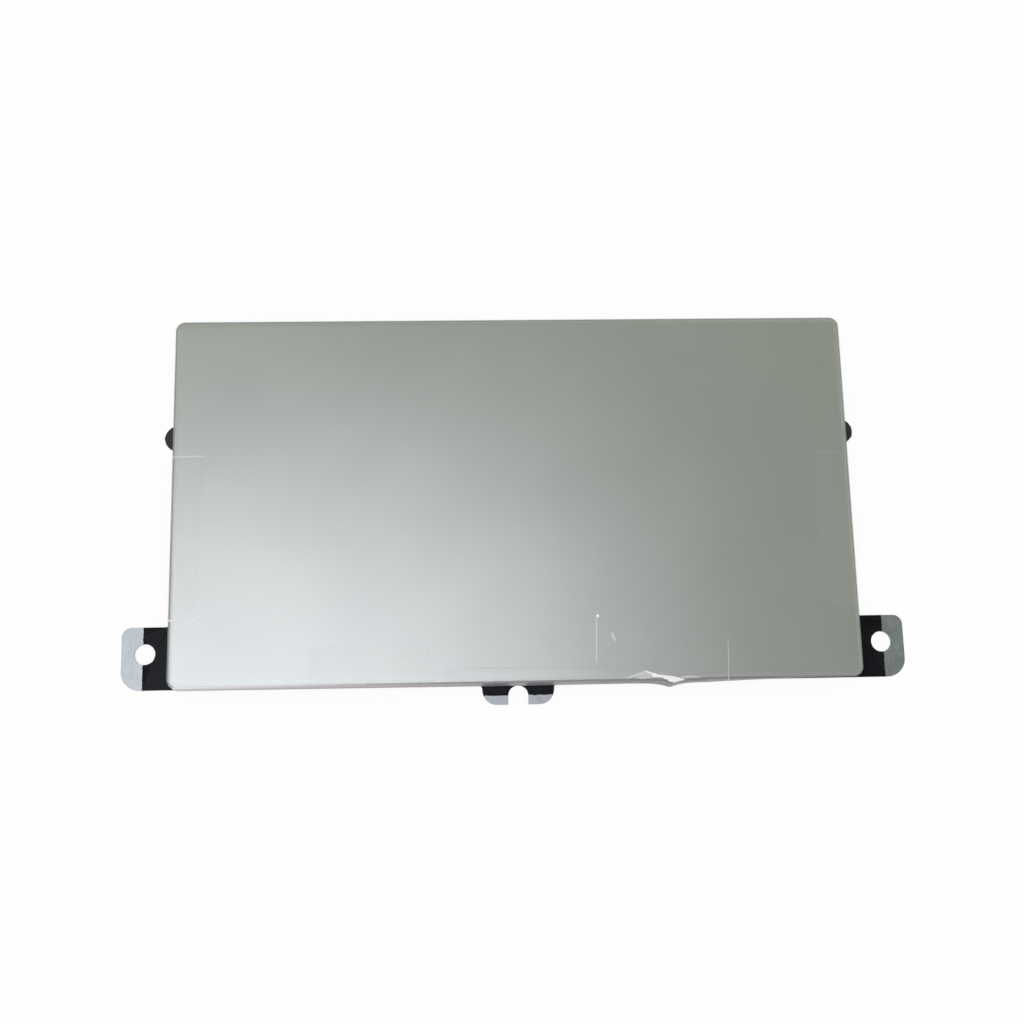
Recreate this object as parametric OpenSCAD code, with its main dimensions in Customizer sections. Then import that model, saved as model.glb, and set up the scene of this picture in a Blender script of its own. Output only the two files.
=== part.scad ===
// Click pad module for a notebook computer: a touch pad on two leaf springs over a steel base plate.
// The pad's hinge edge faces -Y, its free edge faces +Y, and a press there works a switch under the board.
// The origin is under the middle of the module, on the plane that the base plate's back lies in.

/* [Touch pad] */
// Width of the touch surface
pad_w = 110; // [100:1:140]
// Depth of the touch surface, from the hinge edge to the free edge
pad_d = 60; // [54:1:90]
// Corner radius of the touch surface
pad_r = 1.5; // [1:0.1:4]
// Thickness of the cover glass
cover_t = 0.7; // [0.5:0.05:1.2]
// Width of the bevel ground round the cover's top edge
cover_bevel = 0.2; // [0.1:0.05:0.4]
// Thickness of the adhesive under the cover
adhesive_t = 0.1; // [0.05:0.01:0.2]
// Distance from the cover's edge to the adhesive
adhesive_inset = 0.6; // [0.3:0.1:2]
// Thickness of the circuit board
board_t = 0.8; // [0.6:0.1:1.6]
// Distance from the cover's edge to the board
board_inset = 0.4; // [0.2:0.1:1.5]

/* [Clear film] */
// Thickness of the clear protective film
film_t = 0.08; // [0.05:0.01:0.2]
// Height of the film's fold down the cover's side
film_fold = 0.5; // [0.3:0.05:0.9]
// Thickness of the clear tapes that hold the film
tape_t = 0.05; // [0.03:0.01:0.1]
// Length of tape on top of the film
tape_lap = 5.8; // [3:0.1:9]
// Height of each tape's fold down the side
tape_fold = 1.2; // [0.6:0.1:1.8]
// Length of the tape on each side edge
side_tape_len = 27; // [15:1:30]
// Distance from the hinge edge to the side tapes
side_tape_start = 11; // [10:0.5:16]
// Length of each tape on the hinge edge
edge_tape_len = 19.5; // [10:0.5:24]
// Distance from the cover's side to the middle of each hinge edge tape
edge_tape_side = 31.8; // [26:0.1:36]

/* [Base plate] */
// Thickness of the steel base plate
plate_t = 0.5; // [0.4:0.05:0.8]
// Distance from the cover's edge to the plate, at the sides and the free edge
plate_inset = 0.5; // [0.3:0.1:1.5]
// Corner radius of the plate at the free edge
plate_r = 2; // [1:0.5:5]
// Free height between the plate and the board
board_gap = 1.3; // [1.15:0.05:1.8]
// Width of the plate's rail along the free edge
free_rail = 16; // [14:1:20]
// Width of the plate's rail along the hinge edge
hinge_rail = 14; // [12:1:18]
// Width of the plate's rail along each side
side_rail = 7; // [5:0.5:10]
// Width of the webs between the windows
web_w = 8; // [6:0.5:12]
// Width of the middle window, over the electronics
window_w = 44; // [40:1:50]
// Corner radius of the windows
window_r = 3; // [1:0.5:5]
// Width of the pressed beads that stiffen the plate
bead_w = 3; // [2.5:0.1:4]
// Height of the pressed beads
bead_h = 0.35; // [0.2:0.05:0.4]
// Length of the bead on the hinge rail
hinge_bead_len = 34; // [20:1:40]
// Length of each bead on the free rail
free_bead_len = 28; // [16:1:32]
// Distance from the cover's side to the middle of each free rail bead
free_bead_side = 29; // [27:1:31]
// Length of the bead on each web
web_bead_len = 18; // [8:1:20]

/* [Screw tabs] */
// Reach of each screw tab past the cover's side
tab_reach = 7.8; // [6.5:0.1:12]
// Length of each screw tab along the side
tab_len = 10; // [8.5:0.1:10]
// Corner radius of the tab at the hinge edge
tab_hinge_r = 3; // [1:0.1:4]
// Corner radius of the tab away from the hinge edge
tab_free_r = 1.5; // [0.5:0.1:3]
// Radius of the fillet where the tab leaves the plate
tab_root_r = 1.5; // [0.5:0.1:3]
// Diameter of the screw holes
hole_d = 3.3; // [2:0.1:4]
// Distance from the cover's side out to the hole
hole_out = 4.1; // [3:0.1:5]
// Distance from the hinge edge to the hole
hole_up = 5.7; // [4:0.1:6]

/* [Ears and fork] */
// Radius of the locating ears
ear_r = 2.1; // [1.5:0.1:4]
// Reach of each ear past the cover's side
ear_reach = 1.9; // [1:0.1:3]
// Distance from the hinge edge to the ears
ear_up = 41; // [40:0.5:48]
// Reach of the fork past the hinge edge
fork_reach = 3.3; // [3.2:0.1:6]
// Width of the fork
fork_w = 11.4; // [9:0.1:16]
// Radius of the fork's outer corners
fork_r = 2.3; // [0.8:0.1:2.4]
// Radius of the fillet where the fork leaves the plate
fork_root_r = 0.9; // [0.5:0.1:1]
// Width of the fork's slot
slot_w = 3.2; // [2:0.1:5]
// Distance from the hinge edge to the closed end of the slot
slot_start = 0.3; // [0.1:0.1:0.8]

/* [Insulating sheet] */
// Thickness of the black insulating sheet
sheet_t = 0.1; // [0.05:0.01:0.2]
// Reach of the sheet past the cover's side, on the tabs
sheet_tab_reach = 4.4; // [2:0.1:6]
// Reach of the sheet past the hinge edge, on the fork
sheet_fork_reach = 1.85; // [0.5:0.05:2.5]
// Clearance between the sheet and what stands through it
sheet_clear = 0.4; // [0.2:0.1:1]

/* [Leaf springs and stops] */
// Width of each leaf spring
spring_w = 14; // [8:0.5:18]
// Thickness of the leaf springs
spring_t = 0.2; // [0.1:0.05:0.3]
// Length of each of the two flat ends of a leaf spring
spring_flange = 3.4; // [2.8:0.1:5]
// Length of a leaf spring's slope between its flat ends
spring_run = 2; // [1:0.1:4]
// Distance from the hinge edge to the leaf springs
spring_edge = 1; // [0.5:0.1:2]
// Distance from the cover's side to the middle of each leaf spring
spring_side = 21; // [18:0.5:24]
// Diameter of the rivets' shanks
rivet_d = 1.4; // [1:0.1:1.8]
// Diameter of the rivets' heads
rivet_head_d = 2.4; // [2:0.1:2.8]
// Height of the rivets' heads
rivet_head_h = 0.3; // [0.2:0.05:0.4]
// Distance between the two rivets of a leaf spring
rivet_pitch = 8; // [4:0.5:12]
// Clearance round the rivets
rivet_clear = 0.03; // [0.02:0.01:0.1]
// Width of the rubber stops at the free edge's corners
stop_w = 9; // [5:0.5:12]
// Depth of the rubber stops
stop_d = 3; // [2:0.5:4]
// Distance from the free edge to the middle of the stops
stop_edge = 3.2; // [2.8:0.1:4]
// Distance from the cover's side to the middle of the stops
stop_side = 9; // [7:0.5:14]
// Height left above the stops when the pad is pressed
stop_clear = 0.05; // [0.03:0.01:0.15]

/* [Switch] */
// Width of the switch's square base
switch_w = 5; // [4.5:0.1:6]
// Distance from the free edge to the switch
switch_edge = 9; // [8:0.5:11]
// Height of the switch's base
switch_h = 0.6; // [0.55:0.05:0.8]
// Thickness of the floor under the dome
switch_floor = 0.15; // [0.1:0.01:0.2]
// Diameter of the metal dome
dome_d = 3.6; // [3:0.1:4]
// Height of the metal dome
dome_h = 0.28; // [0.25:0.01:0.3]
// Thickness of the metal dome
dome_t = 0.05; // [0.03:0.01:0.08]
// Radial clearance round the dome
dome_clear = 0.2; // [0.1:0.05:0.25]
// Diameter of the plunger's collar
collar_d = 2.6; // [2.4:0.1:3]
// Diameter of the plunger's stem
stem_d = 1.8; // [1.4:0.1:2]
// Height of the stem past the switch's cover, which is the travel of a press
stem_out = 0.2; // [0.15:0.01:0.25]
// Thickness of the switch's sheet metal cover
switch_cover_t = 0.1; // [0.08:0.01:0.15]
// Width of the lugs that hold the switch's cover
switch_lug_w = 2.4; // [1:0.1:3]
// Height of the lugs on the sides of the base
switch_lug_h = 0.4; // [0.2:0.05:0.5]
// Width of the switch's solder terminals
terminal_w = 0.6; // [0.3:0.05:0.8]
// Reach of the solder terminals
terminal_out = 0.5; // [0.3:0.05:1]
// Thickness of the solder terminals
terminal_t = 0.12; // [0.08:0.01:0.2]
// Small clearance between the pieces of the switch
switch_clear = 0.02; // [0.01:0.01:0.03]
// Radial clearance round the plunger's stem
stem_clear = 0.15; // [0.1:0.05:0.2]
// Diameter of the striker's flat top on the base plate
striker_d = 3; // [2.2:0.1:4]
// Free height between the striker and the plunger
striker_gap = 0.03; // [0.02:0.01:0.05]

/* [Cable connector] */
// Number of contacts in the cable connector
ways = 10; // [6:1:14]
// Distance between contacts
pitch = 0.5; // [0.5:0.1:1]
// Distance from the last contact to the end of the housing
conn_end = 2; // [1.8:0.1:2.5]
// Depth of the connector's housing, along the cable
conn_d = 4; // [3.8:0.1:5]
// Height of the connector's housing
conn_h = 1; // [0.95:0.01:1.1]
// Distance from the middle of the board to the connector
conn_x = 11; // [9:0.5:14]
// Height of the cable's slot
cable_h = 0.36; // [0.3:0.02:0.4]
// Height of the cable's slot over the board
cable_up = 0.3; // [0.26:0.01:0.32]
// Side clearance of the cable in its slot
cable_clear = 0.1; // [0.05:0.05:0.3]
// Thickness of the wall behind the cable's slot
cable_wall = 0.2; // [0.1:0.05:0.4]
// Width of each contact
contact_w = 0.2; // [0.15:0.01:0.3]
// Thickness of each contact
contact_t = 0.12; // [0.08:0.01:0.15]
// Distance from the middle of the connector to the front end of the contacts, toward the cable
contact_front = 1.5; // [1:0.1:1.6]
// Length of each contact's foot behind the housing
contact_foot = 0.6; // [0.3:0.05:1]
// Clearance round each contact in the housing
contact_clear = 0.02; // [0.01:0.01:0.04]
// Thickness of the solder anchors at the housing's ends
anchor_t = 0.15; // [0.1:0.01:0.2]
// Width of the solder anchors
anchor_w = 1.4; // [0.8:0.1:2]
// Height of the solder anchors on the housing's ends
anchor_h = 0.6; // [0.4:0.05:0.9]
// Reach of the solder anchors' feet
anchor_foot = 0.6; // [0.3:0.05:1]
// Thickness of the flip latch
latch_t = 0.4; // [0.3:0.02:0.42]
// Length of the latch from its pivot to its lip
latch_len = 1.1; // [0.8:0.05:1.2]
// Distance from the housing's back to the latch's pivot
latch_back = 0.45; // [0.35:0.05:0.6]
// Clearance round the latch
latch_clear = 0.1; // [0.06:0.01:0.12]
// Width of the housing's wall at each end of the latch
latch_wall = 1; // [0.8:0.1:1.2]
// Diameter of the latch's pivot pins
pin_d = 0.36; // [0.28:0.02:0.4]
// Length of the latch's pivot pins
pin_len = 0.5; // [0.3:0.05:0.6]
// Radial clearance round the pivot pins
pin_clear = 0.04; // [0.02:0.01:0.06]

/* [Electronics] */
// Width of the touch controller
chip_w = 7; // [5:0.5:8]
// Height of the touch controller
chip_h = 0.85; // [0.6:0.05:1]
// Distance from the middle of the board to the touch controller
chip_x = 9; // [8:0.5:12]
// Diameter of the dot that marks the controller's first lead
dot_d = 0.8; // [0.5:0.1:1.2]
// Depth of the dot
dot_depth = 0.08; // [0.04:0.01:0.15]
// Number of leads on each side of the controller
lead_count = 12; // [6:1:12]
// Distance between the controller's leads
lead_pitch = 0.5; // [0.4:0.02:0.5]
// Width of the controller's leads
lead_w = 0.25; // [0.15:0.01:0.3]
// Reach of the leads past the controller's side
lead_out = 0.2; // [0.1:0.01:0.3]
// Height of the leads
lead_h = 0.2; // [0.1:0.01:0.3]
// Number of capacitors in the row behind the controller
cap_count = 6; // [2:1:7]
// Number of resistors in the row between controller and connector
res_count = 5; // [2:1:5]
// Length of the capacitors and resistors
passive_len = 1; // [0.8:0.1:1.6]
// Width of the capacitors and resistors
passive_w = 0.5; // [0.4:0.05:0.8]
// Length of the metal cap on each end of a capacitor or resistor
passive_cap = 0.22; // [0.1:0.01:0.3]
// Height of the capacitors
cap_h = 0.5; // [0.3:0.05:0.7]
// Height of the resistors
res_h = 0.35; // [0.2:0.05:0.5]
// Distance between neighbours in a row
passive_pitch = 1.2; // [1:0.05:1.4]
// Distance from the controller's side to the rows
passive_off = 1.6; // [1.2:0.1:2]
// Number of test points
test_count = 9; // [3:1:14]
// Diameter of the test points
test_d = 1.2; // [0.8:0.1:1.8]
// Distance between test points
test_pitch = 2.4; // [2:0.1:3]
// Thickness of the test points' plating
test_t = 0.03; // [0.02:0.01:0.05]
// Distance from the middle window's hinge side edge to the test points
test_up = 3.5; // [2:0.1:6]

/* [Hidden] */
$fn = 64;
hull_fn = 32;
dome_fn = 360;
cut = 1;

// Heights
sheet_z = plate_t + sheet_t;
board_z = plate_t + board_gap;
adhesive_z = board_z + board_t;
cover_z = adhesive_z + adhesive_t;
film_z = cover_z + cover_t;

// The film and the tapes stay this far off what they cover
film_clear = 0.01;
film_out = film_clear + film_t;

// Edges of the pad and the plate
hinge_y = (fork_reach - pad_d - film_out) / 2;
free_y = hinge_y + pad_d;
pad_y = hinge_y + pad_d / 2;
side_x = pad_w / 2;
plate_w = pad_w - 2 * plate_inset;
plate_d = pad_d - plate_inset;
least_r = 0.2;

// Windows in the plate
window_y0 = hinge_y + hinge_rail;
window_y1 = free_y - free_rail;
window_y = (window_y0 + window_y1) / 2;
side_window_x0 = window_w / 2 + web_w;
side_window_x1 = plate_w / 2 - side_rail;

// Leaf springs, and the line about which they let the pad turn
spring_x = side_x - spring_side;
spring_y1 = hinge_y + spring_edge;
spring_y2 = spring_y1 + spring_flange;
spring_y3 = spring_y2 + spring_run;
spring_y4 = spring_y3 + spring_flange;
rivet_y = (spring_y1 + spring_y2) / 2;
pivot_y = (spring_y2 + spring_y3) / 2;
pivot_z = plate_t + board_gap / 2;

// Switch, striker and stops: a press moves the plunger by stem_out
switch_y = free_y - switch_edge;
lever = switch_y - pivot_y;
switch_total = switch_h + switch_cover_t + stem_out;
striker_h = board_gap - switch_total - striker_gap;
dome_z = switch_floor + switch_clear;
collar_z = dome_z + dome_h + switch_clear;
stop_y = free_y - stop_edge;
stop_drop = (stop_y + stop_d / 2 - pivot_y) * stem_out / lever;
stop_h = board_gap - sheet_t - stop_drop - stop_clear;

// Beads as middle X, middle Y, turn and length, and the wall that their sloping sides keep
bead_list = [
    [0, hinge_y + hinge_rail / 2, 0, hinge_bead_len],
    [free_bead_side - side_x, switch_y, 0, free_bead_len],
    [side_x - free_bead_side, switch_y, 0, free_bead_len],
    [-(window_w + web_w) / 2, window_y, 90, web_bead_len],
    [(window_w + web_w) / 2, window_y, 90, web_bead_len]];
press_wall = plate_t * tan(22.5);

// Cable connector, whose pivot and pocket are measured from its middle and from the board
conn_w = (ways - 1) * pitch + 2 * conn_end;
cable_w = (ways + 1) * pitch;
latch_w = conn_w - 2 * (latch_wall + latch_clear);
latch_y = conn_d / 2 - latch_back;
latch_z = conn_h - latch_clear / 2 - latch_t / 2;
pocket_y = latch_y - latch_len - latch_clear;
contact_y = -contact_front;

// Where the joints turn and how far a full press goes
echo(pad_pivot = [0, pivot_y, pivot_z], lever = lever, press_degrees = atan(stem_out / lever));
echo(latch_pivot = [conn_x, window_y + latch_y, board_z - latch_z], switch_y = switch_y);

// A rectangle with round corners, about its middle
module round_rect(w, d, r) {
    square([w - 2 * r, d], center = true);
    square([w, d - 2 * r], center = true);
    for (x = [-1, 1], y = [-1, 1])
        translate([x * (w / 2 - r), y * (d / 2 - r)]) circle(r);
}

// A rectangle with round corners, given by its edges
module round_box(x0, x1, y0, y1, r) {
    translate([(x0 + x1) / 2, (y0 + y1) / 2]) round_rect(x1 - x0, y1 - y0, r);
}

// A straight bar along X with round ends
module stadium(len, w) {
    square([len - w, w], center = true);
    for (end = [-1, 1]) translate([end * (len - w) / 2, 0]) circle(w / 2);
}

// What a rounded corner loses: the corner is at the origin, with its material toward -X and -Y
module corner_trim(r) {
    difference() {
        translate([-r, -r]) square(r + cut);
        translate([-r, -r]) circle(r);
    }
}

// What a fillet adds in an inside corner at the origin, toward +X and +Y
module corner_fill(r) {
    difference() {
        square(r);
        translate([r, r]) circle(r);
    }
}

// A shape and its mirror image across the middle of the pad
module both_sides() {
    children();
    mirror([1, 0, 0]) children();
}

// Hangs a shape upside down from the board's underside
module under_board(x, y) {
    translate([x, y, board_z]) mirror([0, 0, 1]) children();
}

// A flat layer under the touch surface, inset from its edge
module pad_layer(z, t, inset) {
    translate([0, pad_y, z]) linear_extrude(t)
        round_rect(pad_w - 2 * inset, pad_d - 2 * inset, max(pad_r - inset, least_r));
}

// The touch surface's slab from z0 up to z1, bevelled at its top edge and grown outward by out
module pad_slab(z0, z1, out) {
    w = pad_w + 2 * out;
    d = pad_d + 2 * out;
    r = pad_r + out;
    translate([0, pad_y, z0]) hull() {
        linear_extrude(z1 - z0 - cover_bevel) round_rect(w, d, r, $fn = hull_fn);
        linear_extrude(z1 - z0)
            round_rect(w - 2 * cover_bevel, d - 2 * cover_bevel, r - cover_bevel, $fn = hull_fn);
    }
}

// One screw tab on the +X side, before its hole is cut
module tab_outline() {
    tip_x = side_x + tab_reach;
    top_y = hinge_y + tab_len;
    difference() {
        translate([plate_w / 2 - cut, hinge_y]) square([tip_x - plate_w / 2 + cut, tab_len]);
        translate([tip_x, top_y]) corner_trim(tab_free_r);
        translate([tip_x, hinge_y]) mirror([0, 1, 0]) corner_trim(tab_hinge_r);
    }
    translate([plate_w / 2, top_y]) corner_fill(tab_root_r);
}

// The fork on the hinge edge, root deep in the plate, with a slot that is open toward -Y
module fork_outline(root) {
    end_y = hinge_y - fork_reach;
    slot_y = hinge_y - slot_start - slot_w / 2;
    difference() {
        translate([-fork_w / 2, end_y]) square([fork_w, fork_reach + root]);
        both_sides() translate([fork_w / 2, end_y]) mirror([0, 1, 0]) corner_trim(fork_r);
        translate([0, slot_y]) circle(slot_w / 2);
        translate([-slot_w / 2, end_y - cut]) square([slot_w, slot_y - end_y + cut]);
    }
    both_sides() translate([fork_w / 2, hinge_y]) mirror([0, 1, 0]) corner_fill(fork_root_r);
}

// The plate's outline with its tabs and ears, before its windows and holes are cut
// Both ears are the round ends of one bar across the plate
module plate_outline() {
    round_box(-plate_w / 2, plate_w / 2, hinge_y, hinge_y + plate_d, plate_r);
    translate([-plate_w / 2, hinge_y]) square([plate_w, plate_d / 2]);
    both_sides() tab_outline();
    translate([0, hinge_y + ear_up]) stadium(2 * (side_x + ear_reach), 2 * ear_r);
}

// The three windows in the plate, grown by grow all round
module windows(grow) {
    y0 = window_y0 - grow;
    y1 = window_y1 + grow;
    round_box(-window_w / 2 - grow, window_w / 2 + grow, y0, y1, window_r + grow);
    both_sides() round_box(side_window_x0 - grow, side_window_x1 + grow, y0, y1, window_r + grow);
}

module screw_holes() {
    both_sides() translate([side_x + hole_out, hinge_y + hole_up]) circle(d = hole_d);
}

// Puts a shape at both rivets of both leaf springs
module at_rivets() {
    for (side = [-1, 1], end = [-1, 1])
        translate([side * spring_x + end * rivet_pitch / 2, rivet_y, 0]) children();
}

// A pressed bead along X with sloping sides
module bead(len, w) {
    for (end = [-1, 1])
        translate([end * (len - w) / 2, 0, 0]) cylinder(h = bead_h, r1 = w / 2, r2 = w / 2 - bead_h);
    rotate([90, 0, 90]) linear_extrude(len - w, center = true)
        polygon([[-w / 2, 0], [w / 2, 0], [w / 2 - bead_h, bead_h], [bead_h - w / 2, bead_h]]);
}

// Every bead and the striker, grown by grow all round
module pressings(grow) {
    for (b = bead_list)
        translate([b[0], b[1], 0]) rotate([0, 0, b[2]]) bead(b[3] + 2 * grow, bead_w + 2 * grow);
    top_r = striker_d / 2 + grow;
    translate([0, switch_y, 0]) cylinder(h = striker_h, r1 = top_r + striker_h, r2 = top_r);
}

// The flat outline of the beads and the striker, grown by grow all round
module pressing_outlines(grow) {
    for (b = bead_list)
        translate([b[0], b[1]]) rotate(b[2]) stadium(b[3] + 2 * grow, bead_w + 2 * grow);
    translate([0, switch_y]) circle(striker_d / 2 + striker_h + grow);
}

module base_plate() {
    color("lightsteelblue") difference() {
        union() {
            linear_extrude(plate_t) difference() {
                plate_outline();
                windows(0);
                screw_holes();
            }
            translate([0, 0, plate_t]) pressings(0);
        }
        pressings(-press_wall);
        at_rivets() translate([0, 0, -cut]) cylinder(h = plate_t + 2 * cut, d = rivet_d + 2 * rivet_clear);
    }
}

module locating_fork() {
    color("lightsteelblue") linear_extrude(plate_t) fork_outline(0);
}

module insulating_sheet() {
    reach_x = side_x + sheet_tab_reach;
    seat_d = spring_flange + 2 * sheet_clear;
    color("black") translate([0, 0, plate_t]) linear_extrude(sheet_t) difference() {
        intersection() {
            union() {
                plate_outline();
                fork_outline(cut);
            }
            translate([-reach_x, hinge_y - sheet_fork_reach])
                square([2 * reach_x, pad_d + sheet_fork_reach]);
        }
        windows(sheet_clear);
        screw_holes();
        pressing_outlines(sheet_clear);
        both_sides() translate([spring_x, rivet_y])
            square([spring_w + 2 * sheet_clear, seat_d], center = true);
    }
}

module hinge_rivets() {
    color("gainsboro") at_rivets() {
        cylinder(h = plate_t + spring_t + rivet_head_h, d = rivet_d);
        translate([0, 0, plate_t + spring_t]) cylinder(h = rivet_head_h, d = rivet_head_d);
    }
}

// A leaf spring: one flat end on the plate, a slope, and one flat end under the board
module hinge_spring(x) {
    color("darkgray") difference() {
        translate([x, 0, 0]) rotate([90, 0, 90]) linear_extrude(spring_w, center = true)
            polygon([[spring_y1, plate_t], [spring_y2, plate_t], [spring_y3, board_z - spring_t],
                [spring_y4, board_z - spring_t], [spring_y4, board_z], [spring_y3, board_z],
                [spring_y2, plate_t + spring_t], [spring_y1, plate_t + spring_t]]);
        at_rivets() translate([0, 0, plate_t - cut])
            cylinder(h = spring_t + 2 * cut, d = rivet_d + 2 * rivet_clear);
    }
}

module hinge_spring_left() {
    hinge_spring(-spring_x);
}

module hinge_spring_right() {
    hinge_spring(spring_x);
}

module rubber_stops() {
    color("dimgray") both_sides() translate([side_x - stop_side - stop_w / 2, stop_y - stop_d / 2, sheet_z])
        cube([stop_w, stop_d, stop_h]);
}

module cover_plate() {
    color("silver") pad_slab(cover_z, film_z, 0);
}

module cover_adhesive() {
    color("black") pad_layer(adhesive_z, adhesive_t, adhesive_inset);
}

module sensor_board() {
    color("darkgreen") pad_layer(board_z, board_t, board_inset);
}

module touch_controller() {
    dot = chip_w / 2 - dot_d;
    color("black") under_board(-chip_x, window_y) difference() {
        translate([-chip_w / 2, -chip_w / 2, 0]) cube([chip_w, chip_w, chip_h]);
        translate([-dot, dot, chip_h - dot_depth]) cylinder(h = dot_depth + cut, d = dot_d);
    }
}

module controller_leads() {
    color("silver") under_board(-chip_x, window_y)
        for (side = [0 : 3], i = [0 : lead_count - 1])
            rotate(90 * side)
                translate([(i - (lead_count - 1) / 2) * lead_pitch - lead_w / 2, chip_w / 2, 0])
                    cube([lead_w, lead_out, lead_h]);
}

// Puts a shape at each of count places in a row along X
module in_row(count, step) {
    for (i = [0 : count - 1]) translate([(i - (count - 1) / 2) * step, 0, 0]) children();
}

// The row of capacitors, on the free edge's side of the controller
module at_capacitors() {
    under_board(-chip_x, window_y + chip_w / 2 + passive_off) in_row(cap_count, passive_pitch) children();
}

// The row of resistors, between the controller and the connector
module at_resistors() {
    under_board(chip_w / 2 + passive_off - chip_x, window_y) rotate(90) in_row(res_count, passive_pitch)
        children();
}

// The body of a capacitor or resistor, between its end caps
module passive_body(h) {
    body_len = passive_len - 2 * passive_cap;
    translate([-passive_w / 2, -body_len / 2, 0]) cube([passive_w, body_len, h]);
}

// Both end caps of a capacitor or resistor
module passive_ends(h) {
    for (end = [0, 1]) mirror([0, end, 0])
        translate([-passive_w / 2, passive_len / 2 - passive_cap, 0]) cube([passive_w, passive_cap, h]);
}

module chip_capacitors() {
    color("tan") at_capacitors() passive_body(cap_h);
}

module chip_resistors() {
    color("black") at_resistors() passive_body(res_h);
}

module chip_end_caps() {
    color("silver") {
        at_capacitors() passive_ends(cap_h);
        at_resistors() passive_ends(res_h);
    }
}

module test_points() {
    color("gold") under_board(0, window_y0 + test_up) in_row(test_count, test_pitch)
        cylinder(h = test_t, d = test_d);
}

module connector_housing() {
    slot_half = cable_w / 2 + cable_clear;
    pocket_half = latch_w / 2 + latch_clear;
    bearing_half = latch_w / 2 + pin_len + latch_clear;
    groove_w = contact_w + 2 * contact_clear;
    groove_h = contact_t + contact_clear;
    color("ivory") under_board(conn_x, window_y) difference() {
        translate([-conn_w / 2, -conn_d / 2, 0]) cube([conn_w, conn_d, conn_h]);
        translate([-slot_half, -conn_d / 2 - cut, cable_up])
            cube([2 * slot_half, pocket_y - cable_wall + conn_d / 2 + cut, cable_h]);
        translate([-pocket_half, pocket_y, latch_z - latch_t / 2 - latch_clear])
            cube([2 * pocket_half, conn_d, conn_h]);
        translate([-bearing_half, latch_y, latch_z]) rotate([0, 90, 0])
            cylinder(h = 2 * bearing_half, d = pin_d + 2 * pin_clear);
        in_row(ways, pitch) translate([-groove_w / 2, contact_y - contact_clear, cable_up - groove_h])
            cube([groove_w, conn_d, groove_h + contact_clear]);
    }
}

// Each contact: a bar along the slot's ceiling, a leg behind the housing and a foot on the board
module connector_contacts() {
    leg_y = conn_d / 2 + contact_clear;
    color("gold") under_board(conn_x, window_y) in_row(ways, pitch)
        rotate([90, 0, 90]) linear_extrude(contact_w, center = true)
            polygon([[contact_y, cable_up - contact_t], [leg_y, cable_up - contact_t], [leg_y, 0],
                [leg_y + contact_foot, 0], [leg_y + contact_foot, contact_t],
                [leg_y + contact_t, contact_t], [leg_y + contact_t, cable_up], [contact_y, cable_up]]);
}

module connector_anchors() {
    color("silver") under_board(conn_x, window_y) both_sides() translate([conn_w / 2, 0, 0])
        rotate([90, 0, 0]) linear_extrude(anchor_w, center = true)
            polygon([[0, 0], [anchor_foot, 0], [anchor_foot, anchor_t], [anchor_t, anchor_t],
                [anchor_t, anchor_h], [0, anchor_h]]);
}

// The flip latch about its pivot: a bar with one round end, on a pin that sticks out of both ends
module connector_latch() {
    pin_half = latch_w / 2 + pin_len;
    color("black") under_board(conn_x, window_y) translate([0, latch_y, latch_z]) {
        rotate([90, 0, 90]) linear_extrude(latch_w, center = true) {
            translate([-latch_len, -latch_t / 2]) square([latch_len, latch_t]);
            circle(d = latch_t);
        }
        translate([-pin_half, 0, 0]) rotate([0, 90, 0]) cylinder(h = 2 * pin_half, d = pin_d);
    }
}

module switch_base() {
    color("dimgray") under_board(0, switch_y) difference() {
        translate([-switch_w / 2, -switch_w / 2, 0]) cube([switch_w, switch_w, switch_h]);
        translate([0, 0, switch_floor]) cylinder(h = switch_h, d = dome_d + 2 * dome_clear);
    }
}

module switch_terminals() {
    color("silver") under_board(0, switch_y) for (x = [0, 1], y = [0, 1])
        mirror([x, 0, 0]) mirror([0, y, 0])
            translate([switch_w / 2, switch_w / 2 - 2 * terminal_w, 0])
                cube([terminal_out, terminal_w, terminal_t]);
}

// The dome: a thin cap of a sphere, with its rim on the base's floor
module switch_dome() {
    ball_r = (dome_d * dome_d / 4 + dome_h * dome_h) / (2 * dome_h);
    color("gainsboro") under_board(0, switch_y) translate([0, 0, dome_z + dome_h - ball_r])
        rotate_extrude($fn = dome_fn) intersection() {
            difference() {
                circle(ball_r, $fn = dome_fn);
                circle(ball_r - dome_t, $fn = dome_fn);
            }
            translate([0, ball_r - dome_h]) square(dome_d);
        }
}

module switch_cover() {
    cover_d = switch_w + 2 * (switch_clear + switch_cover_t);
    color("lightgray") under_board(0, switch_y) difference() {
        union() {
            translate([-switch_w / 2, -cover_d / 2, switch_h]) cube([switch_w, cover_d, switch_cover_t]);
            for (y = [0, 1]) mirror([0, y, 0])
                translate([-switch_lug_w / 2, cover_d / 2 - switch_cover_t, switch_h - switch_lug_h])
                    cube([switch_lug_w, switch_cover_t, switch_lug_h + switch_cover_t]);
        }
        translate([0, 0, switch_h - cut])
            cylinder(h = switch_cover_t + 2 * cut, d = stem_d + 2 * stem_clear);
    }
}

module switch_plunger() {
    color("saddlebrown") under_board(0, switch_y) {
        translate([0, 0, collar_z]) cylinder(h = switch_h - switch_clear - collar_z, d = collar_d);
        translate([0, 0, collar_z]) cylinder(h = switch_total - collar_z, d = stem_d);
    }
}

module protective_film() {
    color("whitesmoke", 0.3) difference() {
        pad_slab(film_z - film_fold, film_z + film_out, film_out);
        pad_slab(cover_z - cut, film_z + film_clear, film_clear);
    }
}

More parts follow.
